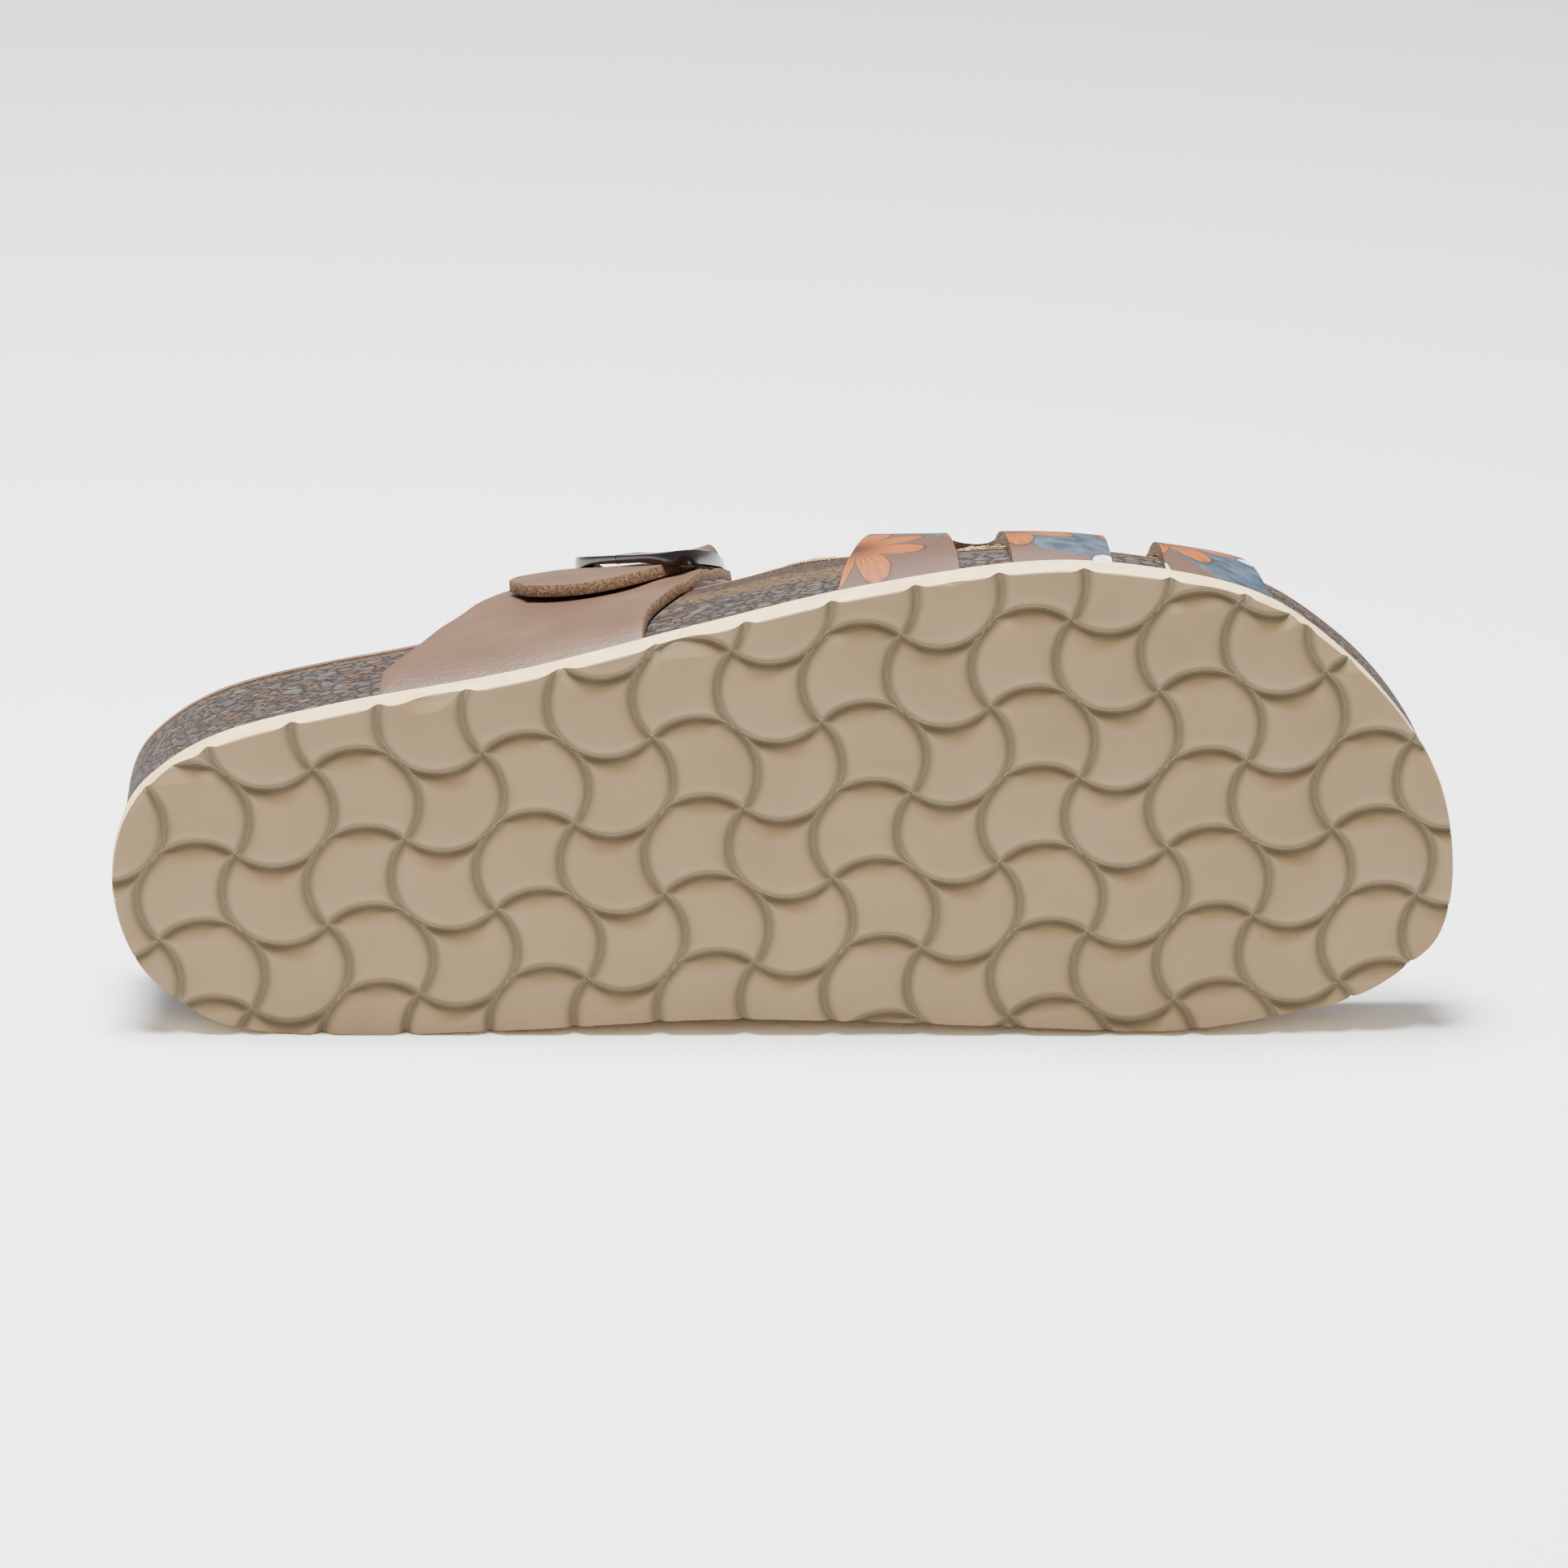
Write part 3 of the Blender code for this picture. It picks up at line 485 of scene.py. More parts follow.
def run_group(name, tree, objects=()):
    """Run a group on an empty mesh with objects for its inputs, and keep the plain mesh."""
    thing = new_object(name, [], [])
    step = thing.modifiers.new("nodes", "NODES")
    step.node_group = tree
    for item in tree.interface.items_tree:
        if item.in_out == "INPUT" and item.name in dict(objects):
            step[item.identifier] = dict(objects)[item.name]
    return baked(thing)


TOUCHING = 2e-6
TREAD_ROWS, TREAD_COLUMNS = 20, 10
FIRST_ROW, FIRST_COLUMN = -6, -6
stand_in = bpy.data.materials.new("mould")  # on every piece until it is given its own
tree, given = group_with("wavy_tread", [
    ("Pitch", "NodeSocketFloat", TREAD_PITCH), ("Turn", "NodeSocketFloat", -TREAD_TURN),
    ("Rows", "NodeSocketInt", TREAD_ROWS // 2), ("Columns", "NodeSocketInt", TREAD_COLUMNS // 2 + 1),
    ("Origin", "NodeSocketVector", TREAD_ORIGIN), ("Material", "NodeSocketMaterial", stand_in)]
    + [("Pad %d%d" % key, "NodeSocketObject", None) for key in PADS])
double = maths(tree, "MULTIPLY", given["Pitch"], 2.0)
spans = [maths(tree, "MULTIPLY", maths(tree, "SUBTRACT", given[axis], 1.0), double)
         for axis in ("Rows", "Columns")]
grid = add(tree, "GeometryNodeMeshGrid", {
    "Size X": spans[0], "Size Y": spans[1], "Vertices X": given["Rows"], "Vertices Y": given["Columns"]})
joined = add(tree, "GeometryNodeJoinGeometry")
for row, column in PADS:
    corner = [maths(tree, "MULTIPLY_ADD", given["Pitch"], float(start), maths(tree, "MULTIPLY", span, 0.5))
              for span, start in zip(spans, (FIRST_ROW + row, FIRST_COLUMN + column))]
    shift = add(tree, "ShaderNodeCombineXYZ", {"X": corner[0], "Y": corner[1]})
    placed = add(tree, "GeometryNodeTransform", {"Geometry": grid.outputs["Mesh"],
                                                 "Translation": shift.outputs[0]})
    pad = add(tree, "GeometryNodeObjectInfo", {"Object": given["Pad %d%d" % (row, column)]})
    spread = add(tree, "GeometryNodeInstanceOnPoints", {"Points": placed.outputs[0],
                                                        "Instance": pad.outputs["Geometry"]})
    tree.links.new(spread.outputs[0], joined.inputs[0])
turn = add(tree, "ShaderNodeCombineXYZ", {"Z": given["Turn"]})
turned = add(tree, "GeometryNodeTransform", {"Geometry": joined.outputs[0], "Rotation": turn.outputs[0],
                                             "Translation": given["Origin"]})
real = add(tree, "GeometryNodeRealizeInstances", {0: turned.outputs[0]})
merged = add(tree, "GeometryNodeMergeByDistance", {"Geometry": real.outputs[0], "Distance": TOUCHING})
coloured = add(tree, "GeometryNodeSetMaterial", {0: merged.outputs[0], "Material": given["Material"]})
add(tree, "NodeGroupOutput", {"Geometry": coloured.outputs[0]})
mould = run_group("tread_mould", tree, {"Pad %d%d" % key: pad for key, pad in PADS.items()})
for pad in PADS.values():
    bpy.data.objects.remove(pad, do_unlink=True)
print("faces in the tread field:", len(mould.data.polygons))

# %% [markdown]
# The real sole is moulded foam rubber.  Here the field of pads becomes the mould: pads far from the
# sole are dropped, the rest is made a closed block below the tread, and a slab with the sole's
# outline is cut by it.  The cut leaves the notches along the edge where grooves run out.  The slab's
# profile is in pairs, how far in from the outline and how high.  Each vertex stores how far it is
# from the middle of the nearest groove.

# %% Mould the outsole
MOULD_FLOOR = -0.004
MOULD_MARGIN = 0.003
GROOVE_SAMPLES, TINY = 8, 1e-7
SLAB_PROFILE = [(0.0006, -0.0004), (0.0002, 0.0003), (0.0, 0.0011), (0.0, 0.0022), (0.0006, 0.0075)]


def outside_by(point):
    """How far a flat point lies beyond the sole's edge, roughly."""
    x = min(max(point.x, 0.0), SOLE_LENGTH)
    over = max(edge_y["outer"](x) - point.y, point.y - edge_y["inner"](x), 0.0)
    return hypot(over, point.x - x)


def close_mould(thing):
    """Keep the faces near the sole, and make them the roof of a closed block."""
    edit = bmesh.new()
    edit.from_mesh(thing.data)
    far = [f for f in edit.faces if outside_by(f.calc_center_median()) > MOULD_MARGIN]
    bmesh.ops.delete(edit, geom=far, context="FACES")
    made = bmesh.ops.extrude_face_region(edit, geom=edit.faces[:], use_keep_orig=True)
    for item in made["geom"]:
        if isinstance(item, bmesh.types.BMVert):
            item.co.z = MOULD_FLOOR
    bmesh.ops.recalc_face_normals(edit, faces=edit.faces)
    edit.to_mesh(thing.data)
    edit.free()


def lines_of(thing):
    """The middles of the grooves, as a tree of close points to search."""
    corners = [v.co for v in thing.data.vertices]
    ends = [[corners[i] for i in edge.vertices] for edge in thing.data.edges]
    ends = [pair for pair in ends if min(p.z for p in pair) > GROOVE_DEPTH - TINY]
    points = [a.lerp(b, t).xy.to_3d() for a, b in ends for t in across(0, 1, GROOVE_SAMPLES)]
    lines = KDTree(len(points))
    for number, point in enumerate(points):
        lines.insert(point, number)
    lines.balance()
    return lines


groove_lines = lines_of(mould)
close_mould(mould)
sole = ring_solid("sole_wavy_tread", [flat_ring(inset, z) for inset, z in SLAB_PROFILE])
boolean(sole, mould)
groove = sole.data.attributes.new("groove_mm", "FLOAT", "POINT")
groove.data.foreach_set("value", [groove_lines.find(v.co.xy.to_3d())[2] / MM for v in sole.data.vertices])
for face in sole.data.polygons:
    face.material_index = 0 if face.normal.z < -0.25 else 1
for vertex in sole.data.vertices:
    vertex.co.z += spring(vertex.co.x)
print("sole faces:", len(sole.data.polygons))

# %% [markdown]
# Foam rubber that comes from a mould has a closed, even skin: matte, a touch waxy, with hardly any
# grain.  Towards each groove it is painted darker, as painted shade, with a paler line in the middle.
# The side is the same foam with a fine nap, painted paler than the tread as painted light from above.

# %% Foam rubber for the sole


def foam_tread():
    """Moulded EVA foam: matte, slightly mottled; painted shade towards the grooves, paler along their middle.
    """
    made, tree, shader = material("moulded_foam_rubber", 0.62)
    where = place_on(tree)
    base = ramp(tree, noise(tree, where, 60.0, 3.0), [(0.3, "#76603F"), (0.7, "#7F6847")])
    away = add(tree, "ShaderNodeAttribute", attribute_name="groove_mm").outputs["Fac"]
    # painted shade: the colour darkens towards each groove, as shade falls there
    slope = fade(tree, away, 0.5, 1.7, 0.85, 0.0, interpolation_type="SMOOTHSTEP")
    shade = mix(tree, slope, base, linear("#5C503A"))
    # a paler line along the middle of each groove
    colour = mix(tree, fade(tree, away, 0.12, 0.45, 0.55, 0.0), shade, linear("#8C7F63"))
    surface(tree, shader, colour, noise(tree, where, 1800.0, 2.0), 0.00006, 0.35)
    return made


def foam_side():
    """The same foam at the edge, without shine, painted paler than the tread as painted light from above."""
    made, tree, shader = material("foam_rubber_painted_lit_side", 0.8)
    mottle = noise(tree, place_on(tree), 150.0, 4.0)
    # painted light: the side is painted paler than the tread, as light from above falls on it
    surface(tree, shader, ramp(tree, mottle, [(0.3, "#D3B581"), (0.7, "#E3C999")]), mottle, 0.00015, 0.5)
    return made


keep(sole, [foam_tread(), foam_side()], "outsole")

# %% [markdown]
# The footbed is pressed cork: a block with a raised rim, a heel cup and an arch, its side ground
# flush with the sole.  It is a stack of loops, like the solid, with more of them.  Each vertex
# stores how far it lies below the rim, so the material can put the jute layer right at the top.
# Towards the waist that distance is shrunk, which widens the layer there.

# %% Cork block
BOWL = [(0.0, 1.0), (0.0014, 1.0), (0.0042, 0.96), (0.0065, 0.78), (0.010, 0.42), (0.0135, 0.22),
        (0.018, 0.08), (0.022, 0.0), (0.026, -0.03)]
BOWL_REACH = 0.86


def bed_ring(inset, rise, top=0.0):
    """A loop on the bowl of the footbed: inset from the wall, and rise from seat 0 to rim 1."""
    def place(x, side):
        cork_rim = rim_z[side](x) - LINER - GAP
        wall = wall_point(x, side, cork_rim + top, GAP)
        spine = edge_and_spine(x, side)[1]
        flat = wall.xy + (spine - wall.xy).normalized() * min(inset, BOWL_REACH * (spine - wall.xy).length)
        height = seat_z(x) + (cork_rim - seat_z(x)) * rise
        return Vector((flat.x, flat.y, SOLE_THICKNESS + height + spring(x) + top))
    return ring_of(place)


def cork_wall(share):
    """A loop on the side of the cork, share 0 at the sole and 1 at the rim."""
    return ring_of(lambda x, side: wall_point(x, side, (rim_z[side](x) - LINER - GAP) * share, GAP))


WALL_SHARES = across(0.0, 0.985, 24)
cork = ring_solid("cork_block", [cork_wall(share) for share in WALL_SHARES]
                  + [bed_ring(*step) for step in BOWL])
below = cork.data.attributes.new("below_rim_mm", "FLOAT", "POINT")
count = 2 * STATIONS
values = []
BAND_MIDDLE, BAND_REACH, BAND_STRETCH = 0.122, 0.036, 6.0
for index, vertex in enumerate(cork.data.vertices):
    level = index // count
    share = WALL_SHARES[level] if level < len(WALL_SHARES) else 1.0
    side = "outer" if index % count <= STATIONS else "inner"
    near_waist = max(0.0, 1 - ((vertex.co.x - BAND_MIDDLE) / BAND_REACH) ** 2)
    values.append((rim_z[side](vertex.co.x) - LINER) * (1 - share) / MM / (1 + BAND_STRETCH * near_waist))
below.data.foreach_set("value", values)
print("cork rim at the waist in mm:", round(rim_z["outer"](0.1) / MM, 1))

# %% [markdown]
# Pressed cork is made of ground granules glued under heat.  Cut through, it shows flakes of grey
# brown, some orange, parted by dark bark, and all lie flat, longer along the sole than up it.  A
# Voronoi pattern stretched along the sole gives the flakes, about 3 mm by 1 mm.

# %% Cork and jute
FLAKE, FLATTEN, WOBBLE = 900.0, (0.36, 1.0, 0.8), 0.0016
JUTE_MM, DARK_BAND_MM, FRAY_MM = (2.5, 2.7), (1.55, 1.8), 1.4


def pressed_cork():
    """Pressed cork granules: flat flakes of mixed browns, dull, with dark pits between them."""
    made, tree, shader = material("pressed_cork", 0.85)
    where = place_on(tree)
    wobble = add(tree, "ShaderNodeTexNoise", {"Vector": where, "Scale": 260.0, "Detail": 4.0})
    moved = vectors(tree, "ADD", where, vectors(tree, "MULTIPLY", wobble.outputs["Color"], (WOBBLE,) * 3))
    flat = add(tree, "ShaderNodeMapping", {"Vector": moved, "Scale": FLATTEN}).outputs[0]
    cells = {"Vector": flat, "Scale": FLAKE}
    flakes = add(tree, "ShaderNodeTexVoronoi", cells)
    borders = add(tree, "ShaderNodeTexVoronoi", cells, feature="DISTANCE_TO_EDGE")
    pick = add(tree, "ShaderNodeSeparateColor", {"Color": flakes.outputs["Color"]}).outputs[0]
    colour = ramp(tree, pick, [(0.0, "#3A2F28"), (0.2, "#554A48"), (0.42, "#685D59"), (0.6, "#46362A"),
                               (0.78, "#5C4F49"), (0.9, "#6C4529"), (1.0, "#261C16")])
    streak = noise(tree, flat, 1500.0, 5.0)
    colour = mix(tree, 0.75, colour, ramp(tree, streak, [(0.3, "#7A726E"), (0.7, "#FFFFFF")]), "MULTIPLY")
    gap = fade(tree, borders.outputs["Distance"], 0.0, 0.14, 1.0, 0.0)
    colour = mix(tree, gap, colour, linear("#1C1410"))
    down = add(tree, "ShaderNodeAttribute", attribute_name="below_rim_mm").outputs["Fac"]
    frayed = maths(tree, "MULTIPLY_ADD", streak, FRAY_MM, down)
    weave = noise(tree, flat, 3200.0, 3.0)
    thread = ramp(tree, weave, [(0.35, "#3A2B1A"), (0.65, "#6A5234")])
    colour = mix(tree, fade(tree, frayed, *JUTE_MM, 1.0, 0.0), colour, thread)
    # a dark band right under the rim, darker than the jute below it
    nap = ramp(tree, weave, [(0.35, "#20140D"), (0.6, "#422D1C"), (0.75, "#7A5834")])
    colour = mix(tree, fade(tree, frayed, *DARK_BAND_MM, 1.0, 0.0), colour, nap)
    surface(tree, shader, colour, maths(tree, "MULTIPLY_ADD", gap, -0.7, streak), 0.0011, 0.9)
    return made


keep(cork, [pressed_cork()], "footbed_cork")

# %% [markdown]
# Over the cork lies a suede sheet.  Its cut edge is flush with the side and shows as a thin band
# over the jute; its top is brushed, so it has soft lighter and darker strokes.

# %% Suede liner


def suede():
    """Brushed split leather: no shine at all, short nap, with soft lighter and darker strokes."""
    made, tree, shader = material("brushed_suede", 0.95)
    where = place_on(tree)
    strokes, fibre = noise(tree, where, 45.0, 3.0), noise(tree, where, 2200.0, 4.0)
    half = maths(tree, "MULTIPLY", maths(tree, "ADD", strokes, fibre), 0.5)
    surface(tree, shader, ramp(tree, half, [(0.35, "#4A3426"), (0.62, "#7A5A42")]), fibre, 0.0003, 0.7)
    return made


LIFT = 1.5 * GAP
LINER_RIM = [(0.0, 0.0), (0.0, 0.25), (0.0, 0.8), (0.0003, 1.0)]
under = [bed_ring(inset, rise, LIFT) for inset, rise in BOWL[:0:-1]]
rim = [bed_ring(inset, 1.0, LIFT + LINER * share) for inset, share in LINER_RIM]
over = [bed_ring(inset, rise, LIFT + LINER) for inset, rise in BOWL[1:]]
liner = ring_solid("suede_liner", under + rim + over)
keep(liner, [suede()], "footbed_liner")

# %% [markdown]
# Straps are cut from one hide about 2.4 mm thick.  Each is a grid on the last, thickened outwards.
# The grid keeps its true length and width as a UV map in metres, so a printed or grained pattern
# follows the leather.  The cut rim gets a second material, the fibrous inside of the hide.

# %% Sheets of leather
CUT_BEVEL = 0.00035


def sheet(name, grid, thickness=LEATHER, outward=True):
    """A sheet whose inside face is the grid; its UV map is its real size in metres."""
    rows, columns = len(grid), len(grid[0])
    middle = columns // 2
    along, up = [0.0], [0.0]
    for j in range(1, columns):
        along.append(along[-1] + (grid[rows // 2][j] - grid[rows // 2][j - 1]).length)
    for i in range(1, rows):
        up.append(up[-1] + (grid[i][middle] - grid[i - 1][middle]).length)
    faces = quads(rows, columns, closed=False)
    thing = new_object(name, [p for row in grid for p in row], faces if outward else [f[::-1] for f in faces])
    layer = thing.data.uv_layers.new(name="hide")
    for loop in thing.data.loops:
        i, j = divmod(loop.vertex_index, columns)
        layer.data[loop.index].uv = (along[j], up[i])
    for _ in range(2):
        thing.data.materials.append(stand_in)
    wall = thing.modifiers.new("thickness", "SOLIDIFY")
    wall.thickness, wall.offset, wall.use_even_offset = thickness, 1.0, True
    wall.material_offset_rim = 1
    return thing


def bevelled(thing, width=CUT_BEVEL):
    """Round the cut edges a little."""
    round_off = thing.modifiers.new("bevel", "BEVEL")
    round_off.width, round_off.segments = width, 2
    round_off.limit_method, round_off.angle_limit = "ANGLE", radians(50)
    return baked(thing)


def cutter_of(name, vertices, loops):
    """Blocks to cut leather with, each between two loops; the cut faces get the raw edge's material."""
    faces = []
    for base, n in loops:
        faces += [tuple(base + i for i in range(n)), tuple(base + n + i for i in reversed(range(n)))]
        faces += [(base + i, base + n + i, base + n + (i + 1) % n, base + (i + 1) % n) for i in range(n)]
    cutter = new_object(name, vertices, faces)
    face_outwards(cutter)
    for _ in range(2):
        cutter.data.materials.append(stand_in)
    for face in cutter.data.polygons:
        face.material_index = 1
    return cutter


Row = namedtuple("Row", "rear_x rear_turn front_x front_turn lift")


def drawn(table, step):
    """Every column of a table at a step between its rows, drawn as smooth curves."""
    keys = list(range(len(table)))
    return [hermite(keys, [float(row[c]) for row in table], step) for c in range(len(table[0]))]


def row_point(row, share, lift=0.0):
    """A point between the rear edge 0 and the front edge 1 of a row, lifted off the last."""
    x = (row.rear_x + (row.front_x - row.rear_x) * share) * MM
    turn = row.rear_turn + (row.front_turn - row.rear_turn) * share
    return last_point(x, turn) + last_normal(x, turn) * (row.lift * MM + lift)


print("leather in mm:", LEATHER / MM)

# %% [markdown]
# The forefoot upper is one sheet that wraps over the toes, parted on each side into three bands by
# two round-topped slots.  The slots are cut with blocks whose faces carry the rim's material index.

# %% Forefoot upper
VAMP_REAR, VAMP_FRONT = (135.3, 151.0), (213.8, 206.0)
VAMP_EDGE_POWER = 0.8
VAMP_SLOTS = [(157.3, 167.2, 36.0), (185.4, 195.4, 31.0)]
SLOT_NEAR, SLOT_FAR, SLOT_STEPS = 0.020, 0.080, 24
VAMP_COLUMNS = 41
VAMP_TURNS = [3, 6] + [float(t) for t in range(9, 172, 3)] + [174, 177]


def vamp_row(turn):
    """x of the upper's columns at a turn: its edges curve from the sole to the crown."""
    rise = sin(radians(turn)) ** VAMP_EDGE_POWER
    rear = VAMP_REAR[0] + (VAMP_REAR[1] - VAMP_REAR[0]) * rise
    front = VAMP_FRONT[0] + (VAMP_FRONT[1] - VAMP_FRONT[0]) * rise
    return across(rear * MM, front * MM, VAMP_COLUMNS)


def slot_blocks():
    """Round-topped blocks that part the bands, two on each side."""
    vertices, loops = [], []
    for rear, front, top in VAMP_SLOTS:
        radius, middle = (front - rear) / 2 * MM, (front + rear) / 2 * MM
        centre = SOLE_THICKNESS + top * MM - radius
        profile = [(middle - radius, 0.0)]
        profile += [(middle + radius * cos(a), centre + radius * sin(a)) for a in across(pi, 0, SLOT_STEPS)]
        profile.append((middle + radius, 0.0))
        for near, far in ((-SLOT_FAR, -SLOT_NEAR), (SLOT_NEAR, SLOT_FAR)):
            loops.append((len(vertices), len(profile)))
            vertices += [(x, y, z) for y in (near, far) for x, z in profile]
    return cutter_of("slots", vertices, loops)


vamp_grid = [[strap_foot(x, "outer", GAP) for x in vamp_row(0)]]
vamp_grid += [[last_point(x, turn) for x in vamp_row(turn)] for turn in VAMP_TURNS]
vamp_grid += [[strap_foot(x, "inner", GAP) for x in vamp_row(180)]]
vamp = baked(sheet("printed_forefoot_upper", vamp_grid))
boolean(vamp, slot_blocks())
print("upper faces:", len(vamp.data.polygons))

# %% [markdown]
# Smooth leather has a fine pore grain under a thin finish, so it shines softly in broad patches.
# The cut edge is raw hide: brown, dull and fibrous.

# %% Smooth leather and its cut edge


def grain_height(tree, uv):
    """Fine pores, about 0.6 mm apart, drawn a little coarser than real so that they show."""
    pores = add(tree, "ShaderNodeTexVoronoi", {"Vector": uv, "Scale": 1600.0}, feature="SMOOTH_F1")
    return maths(tree, "MULTIPLY_ADD", pores.outputs["Distance"], 0.6, noise(tree, uv, 420.0, 5.0))


def smooth_leather():
    """Finished cow leather: taupe with a rosy cast, satin, with a fine even grain."""
    made, tree, shader = material("smooth_taupe_leather", 0.5)
    shader.inputs["Specular IOR Level"].default_value = 0.3
    uv = add(tree, "ShaderNodeUVMap", uv_map="hide").outputs[0]
    colour = ramp(tree, noise(tree, uv, 55.0, 3.0), [(0.3, "#4F3A2D"), (0.7, "#5F4938")])
    surface(tree, shader, colour, grain_height(tree, uv), 0.0003, 0.5)
    return made


def raw_edge():
    """Cut hide seen end on: matted fibres, dull brown with pale and dark threads."""
    made, tree, shader = material("raw_leather_edge", 0.92)
    fibre = noise(tree, place_on(tree), 1900.0, 6.0, 0.7)
    colour = ramp(tree, fibre, [(0.3, "#33221A"), (0.5, "#674B34"), (0.72, "#A5835C")])
    surface(tree, shader, colour, fibre, 0.0006, 0.8)
    return made


leather, edge = smooth_leather(), raw_edge()
print("materials so far:", len(bpy.data.materials))

# %% [markdown]
# The upper is printed.  This print is a generic one of its own: blooms of eight rounded petals, white
# or orange, and blue grey leaves, strewn on taupe.  A Voronoi pattern gives each motif a cell: its
# point is the motif's centre, and its random colour picks the kind and the turn.

# %% Printed leather
MOTIF, PRINT_START = 0.023, (4.3, 2.6, 0.0)
PETALS, VEINS, ORANGE_FROM = 8, 40.0, 0.66
LEAF_TURN, LEAF_STRETCH = radians(35), (0.75, 1.9, 1.0)


def printed_leather():
    """Printed cow leather: matte inks on taupe under a thin satin finish."""
    made, tree, shader = material("printed_leather", 0.55)
    uv = add(tree, "ShaderNodeUVMap", uv_map="hide").outputs[0]
    scaled = vectors(tree, "MULTIPLY_ADD", uv, (1 / MOTIF,) * 3, PRINT_START)
    cells = add(tree, "ShaderNodeTexVoronoi", {"Vector": scaled, "Scale": 1.0, "Randomness": 0.4},
                voronoi_dimensions="2D").outputs
    local = vectors(tree, "SUBTRACT", scaled, cells["Position"])
    split = add(tree, "ShaderNodeSeparateXYZ", {0: local}).outputs
    pick = add(tree, "ShaderNodeSeparateColor", {0: cells["Color"]}).outputs
    radius = cells["Distance"]
    angle = maths(tree, "MULTIPLY_ADD", pick[1], 6.28, maths(tree, "ARCTAN2", split["Y"], split["X"]))
    petal = maths(tree, "ABSOLUTE", maths(tree, "COSINE", maths(tree, "MULTIPLY", angle, PETALS / 2)))
    reach = maths(tree, "MULTIPLY_ADD", maths(tree, "POWER", petal, 0.6), 0.38, 0.12)
    inside = maths(tree, "SUBTRACT", reach, radius)
    wave = maths(tree, "COSINE", maths(tree, "MULTIPLY", angle, VEINS))
    veins = maths(tree, "MULTIPLY", maths(tree, "MULTIPLY_ADD", wave, 0.5, 0.5),
                  maths(tree, "MULTIPLY", radius, 1.6))
    white = ramp(tree, veins, [(0.0, "#DCDEE6"), (0.9, "#9EA3B6")])
    orange = ramp(tree, maths(tree, "MULTIPLY_ADD", veins, 0.5, radius),
                  [(0.05, "#3A1706"), (0.4, "#8C4A10"), (0.9, "#6E360B")])
    petals = mix(tree, fade(tree, pick[0], ORANGE_FROM, ORANGE_FROM + 0.01), white, orange)
    petals = mix(tree, fade(tree, inside, 0.02, 0.04), linear("#2E1A10"), petals)
    turned = add(tree, "ShaderNodeVectorRotate", {"Vector": scaled, "Angle": LEAF_TURN},
                 rotation_type="Z_AXIS")
    long = vectors(tree, "MULTIPLY", turned.outputs[0], LEAF_STRETCH)
    leaves = add(tree, "ShaderNodeTexVoronoi", {"Vector": long, "Scale": 1.0, "Randomness": 0.8},
                 voronoi_dimensions="2D").outputs["Distance"]
    leaf = ramp(tree, noise(tree, long, 9.0, 4.0), [(0.35, "#1C2935"), (0.65, "#3E4C58")])
    ground = mix(tree, fade(tree, leaves, 0.40, 0.42, 1.0, 0.0), linear("#4C3325"), leaf)
    colour = mix(tree, fade(tree, inside, 0.0, 0.015), ground, petals)
    surface(tree, shader, colour, grain_height(tree, uv), 0.00015, 0.3)
    return made


print("motifs are about", round(MOTIF / MM), "mm apart")

# %% Dress the forefoot upper
keep(vamp, [printed_leather(), edge], "forefoot_upper")

# %% [markdown]
# The quarter rises from the waist on the outer side and carries the buckle.  The strap comes from
# the inner side, over the instep, through the buckle, and its tip lies over the quarter.  Where the
# strap is pulled tight, the hide creases: soft troughs across it, placed one by one.

# %% Quarter and strap
QUARTER = [Row(50.6, 2, 99.5, 2, 0), Row(59, 9, 101.5, 9, 0), Row(70, 21, 106.5, 18, 0),
           Row(81, 34, 111.5, 28, 0), Row(91, 48, 115.5, 38, 0), Row(98.5, 61, 119, 48, 0)]
STRAP = [Row(80, 178, 116, 178, .2), Row(83, 170, 117, 170, .4), Row(90, 150, 118, 149, .6),
         Row(95, 124, 119.5, 123, .6), Row(98.5, 97, 120.5, 95, 1.6), Row(100, 78, 119, 72, 5.2),
         Row(99.5, 64, 116.5, 52.5, 6.5), Row(97, 53, 113.5, 40.5, 3.4), Row(92.5, 45, 109, 31.5, 2.7),
         Row(87.5, 37, 102, 24.5, 2.7), Row(82, 30.5, 94, 20.5, 2.8), Row(78, 26.5, 86, 19.5, 3.0),
         Row(76.5, 23.5, 79.5, 20, 3.2)]
QUARTER_GRID, STRAP_GRID = (44, 21), (145, 17)
QUARTER_CREASES = [(2.1, 0.9, 0.35, -0.40), (3.0, 0.5, 0.25, 0.35), (3.7, 0.2, 0.22, -0.40)]
STRAP_CREASES = [(4.6, 0.4, 0.22, -0.30), (5.2, 0.6, 0.20, 0.22), (1.2, 0.3, 0.25, -0.22)]


def crease(creases, step, share):
    """Height of the soft troughs and ridges at a place: each is (step, slant, width, mm)."""
    height = 0.0
    for middle, slant, width, tall in creases:
        away = (step - middle - slant * (share - 0.5)) / width
        height += tall * MM * max(0.0, 1 - away * away) ** 2
    return height


def strap_grid(rows, count, columns, side, creases):
    """Rows of points from the foot of a strap to its end."""
    ends = across(rows[0].rear_x * MM, rows[0].front_x * MM, columns)
    grid = [[strap_foot(x, side, GAP) for x in ends]]
    for step in across(0.0, len(rows) - 1.0, count)[1:]:
        row = Row(*drawn(rows, step))
        grid.append([row_point(row, share, crease(creases, step, share)) for share in across(0, 1, columns)])
    return grid


quarter = bevelled(sheet("outer_quarter", strap_grid(QUARTER, *QUARTER_GRID, "outer", QUARTER_CREASES)))
keep(quarter, [leather, edge], "instep_quarter")

# %% Cut the prong's hole in the strap
HOLE_STEP, HOLE_LONG, HOLE_WIDE, HOLE_SIDES = 6.66, 0.38, 0.085, 28
PLUG_LIFTS = 0.003, 0.013


def strap_place(step, share, lift):
    """A point over the last along the strap: its table's own lift is left out."""
    return row_point(Row(*drawn(STRAP, step))._replace(lift=0.0), share, lift)


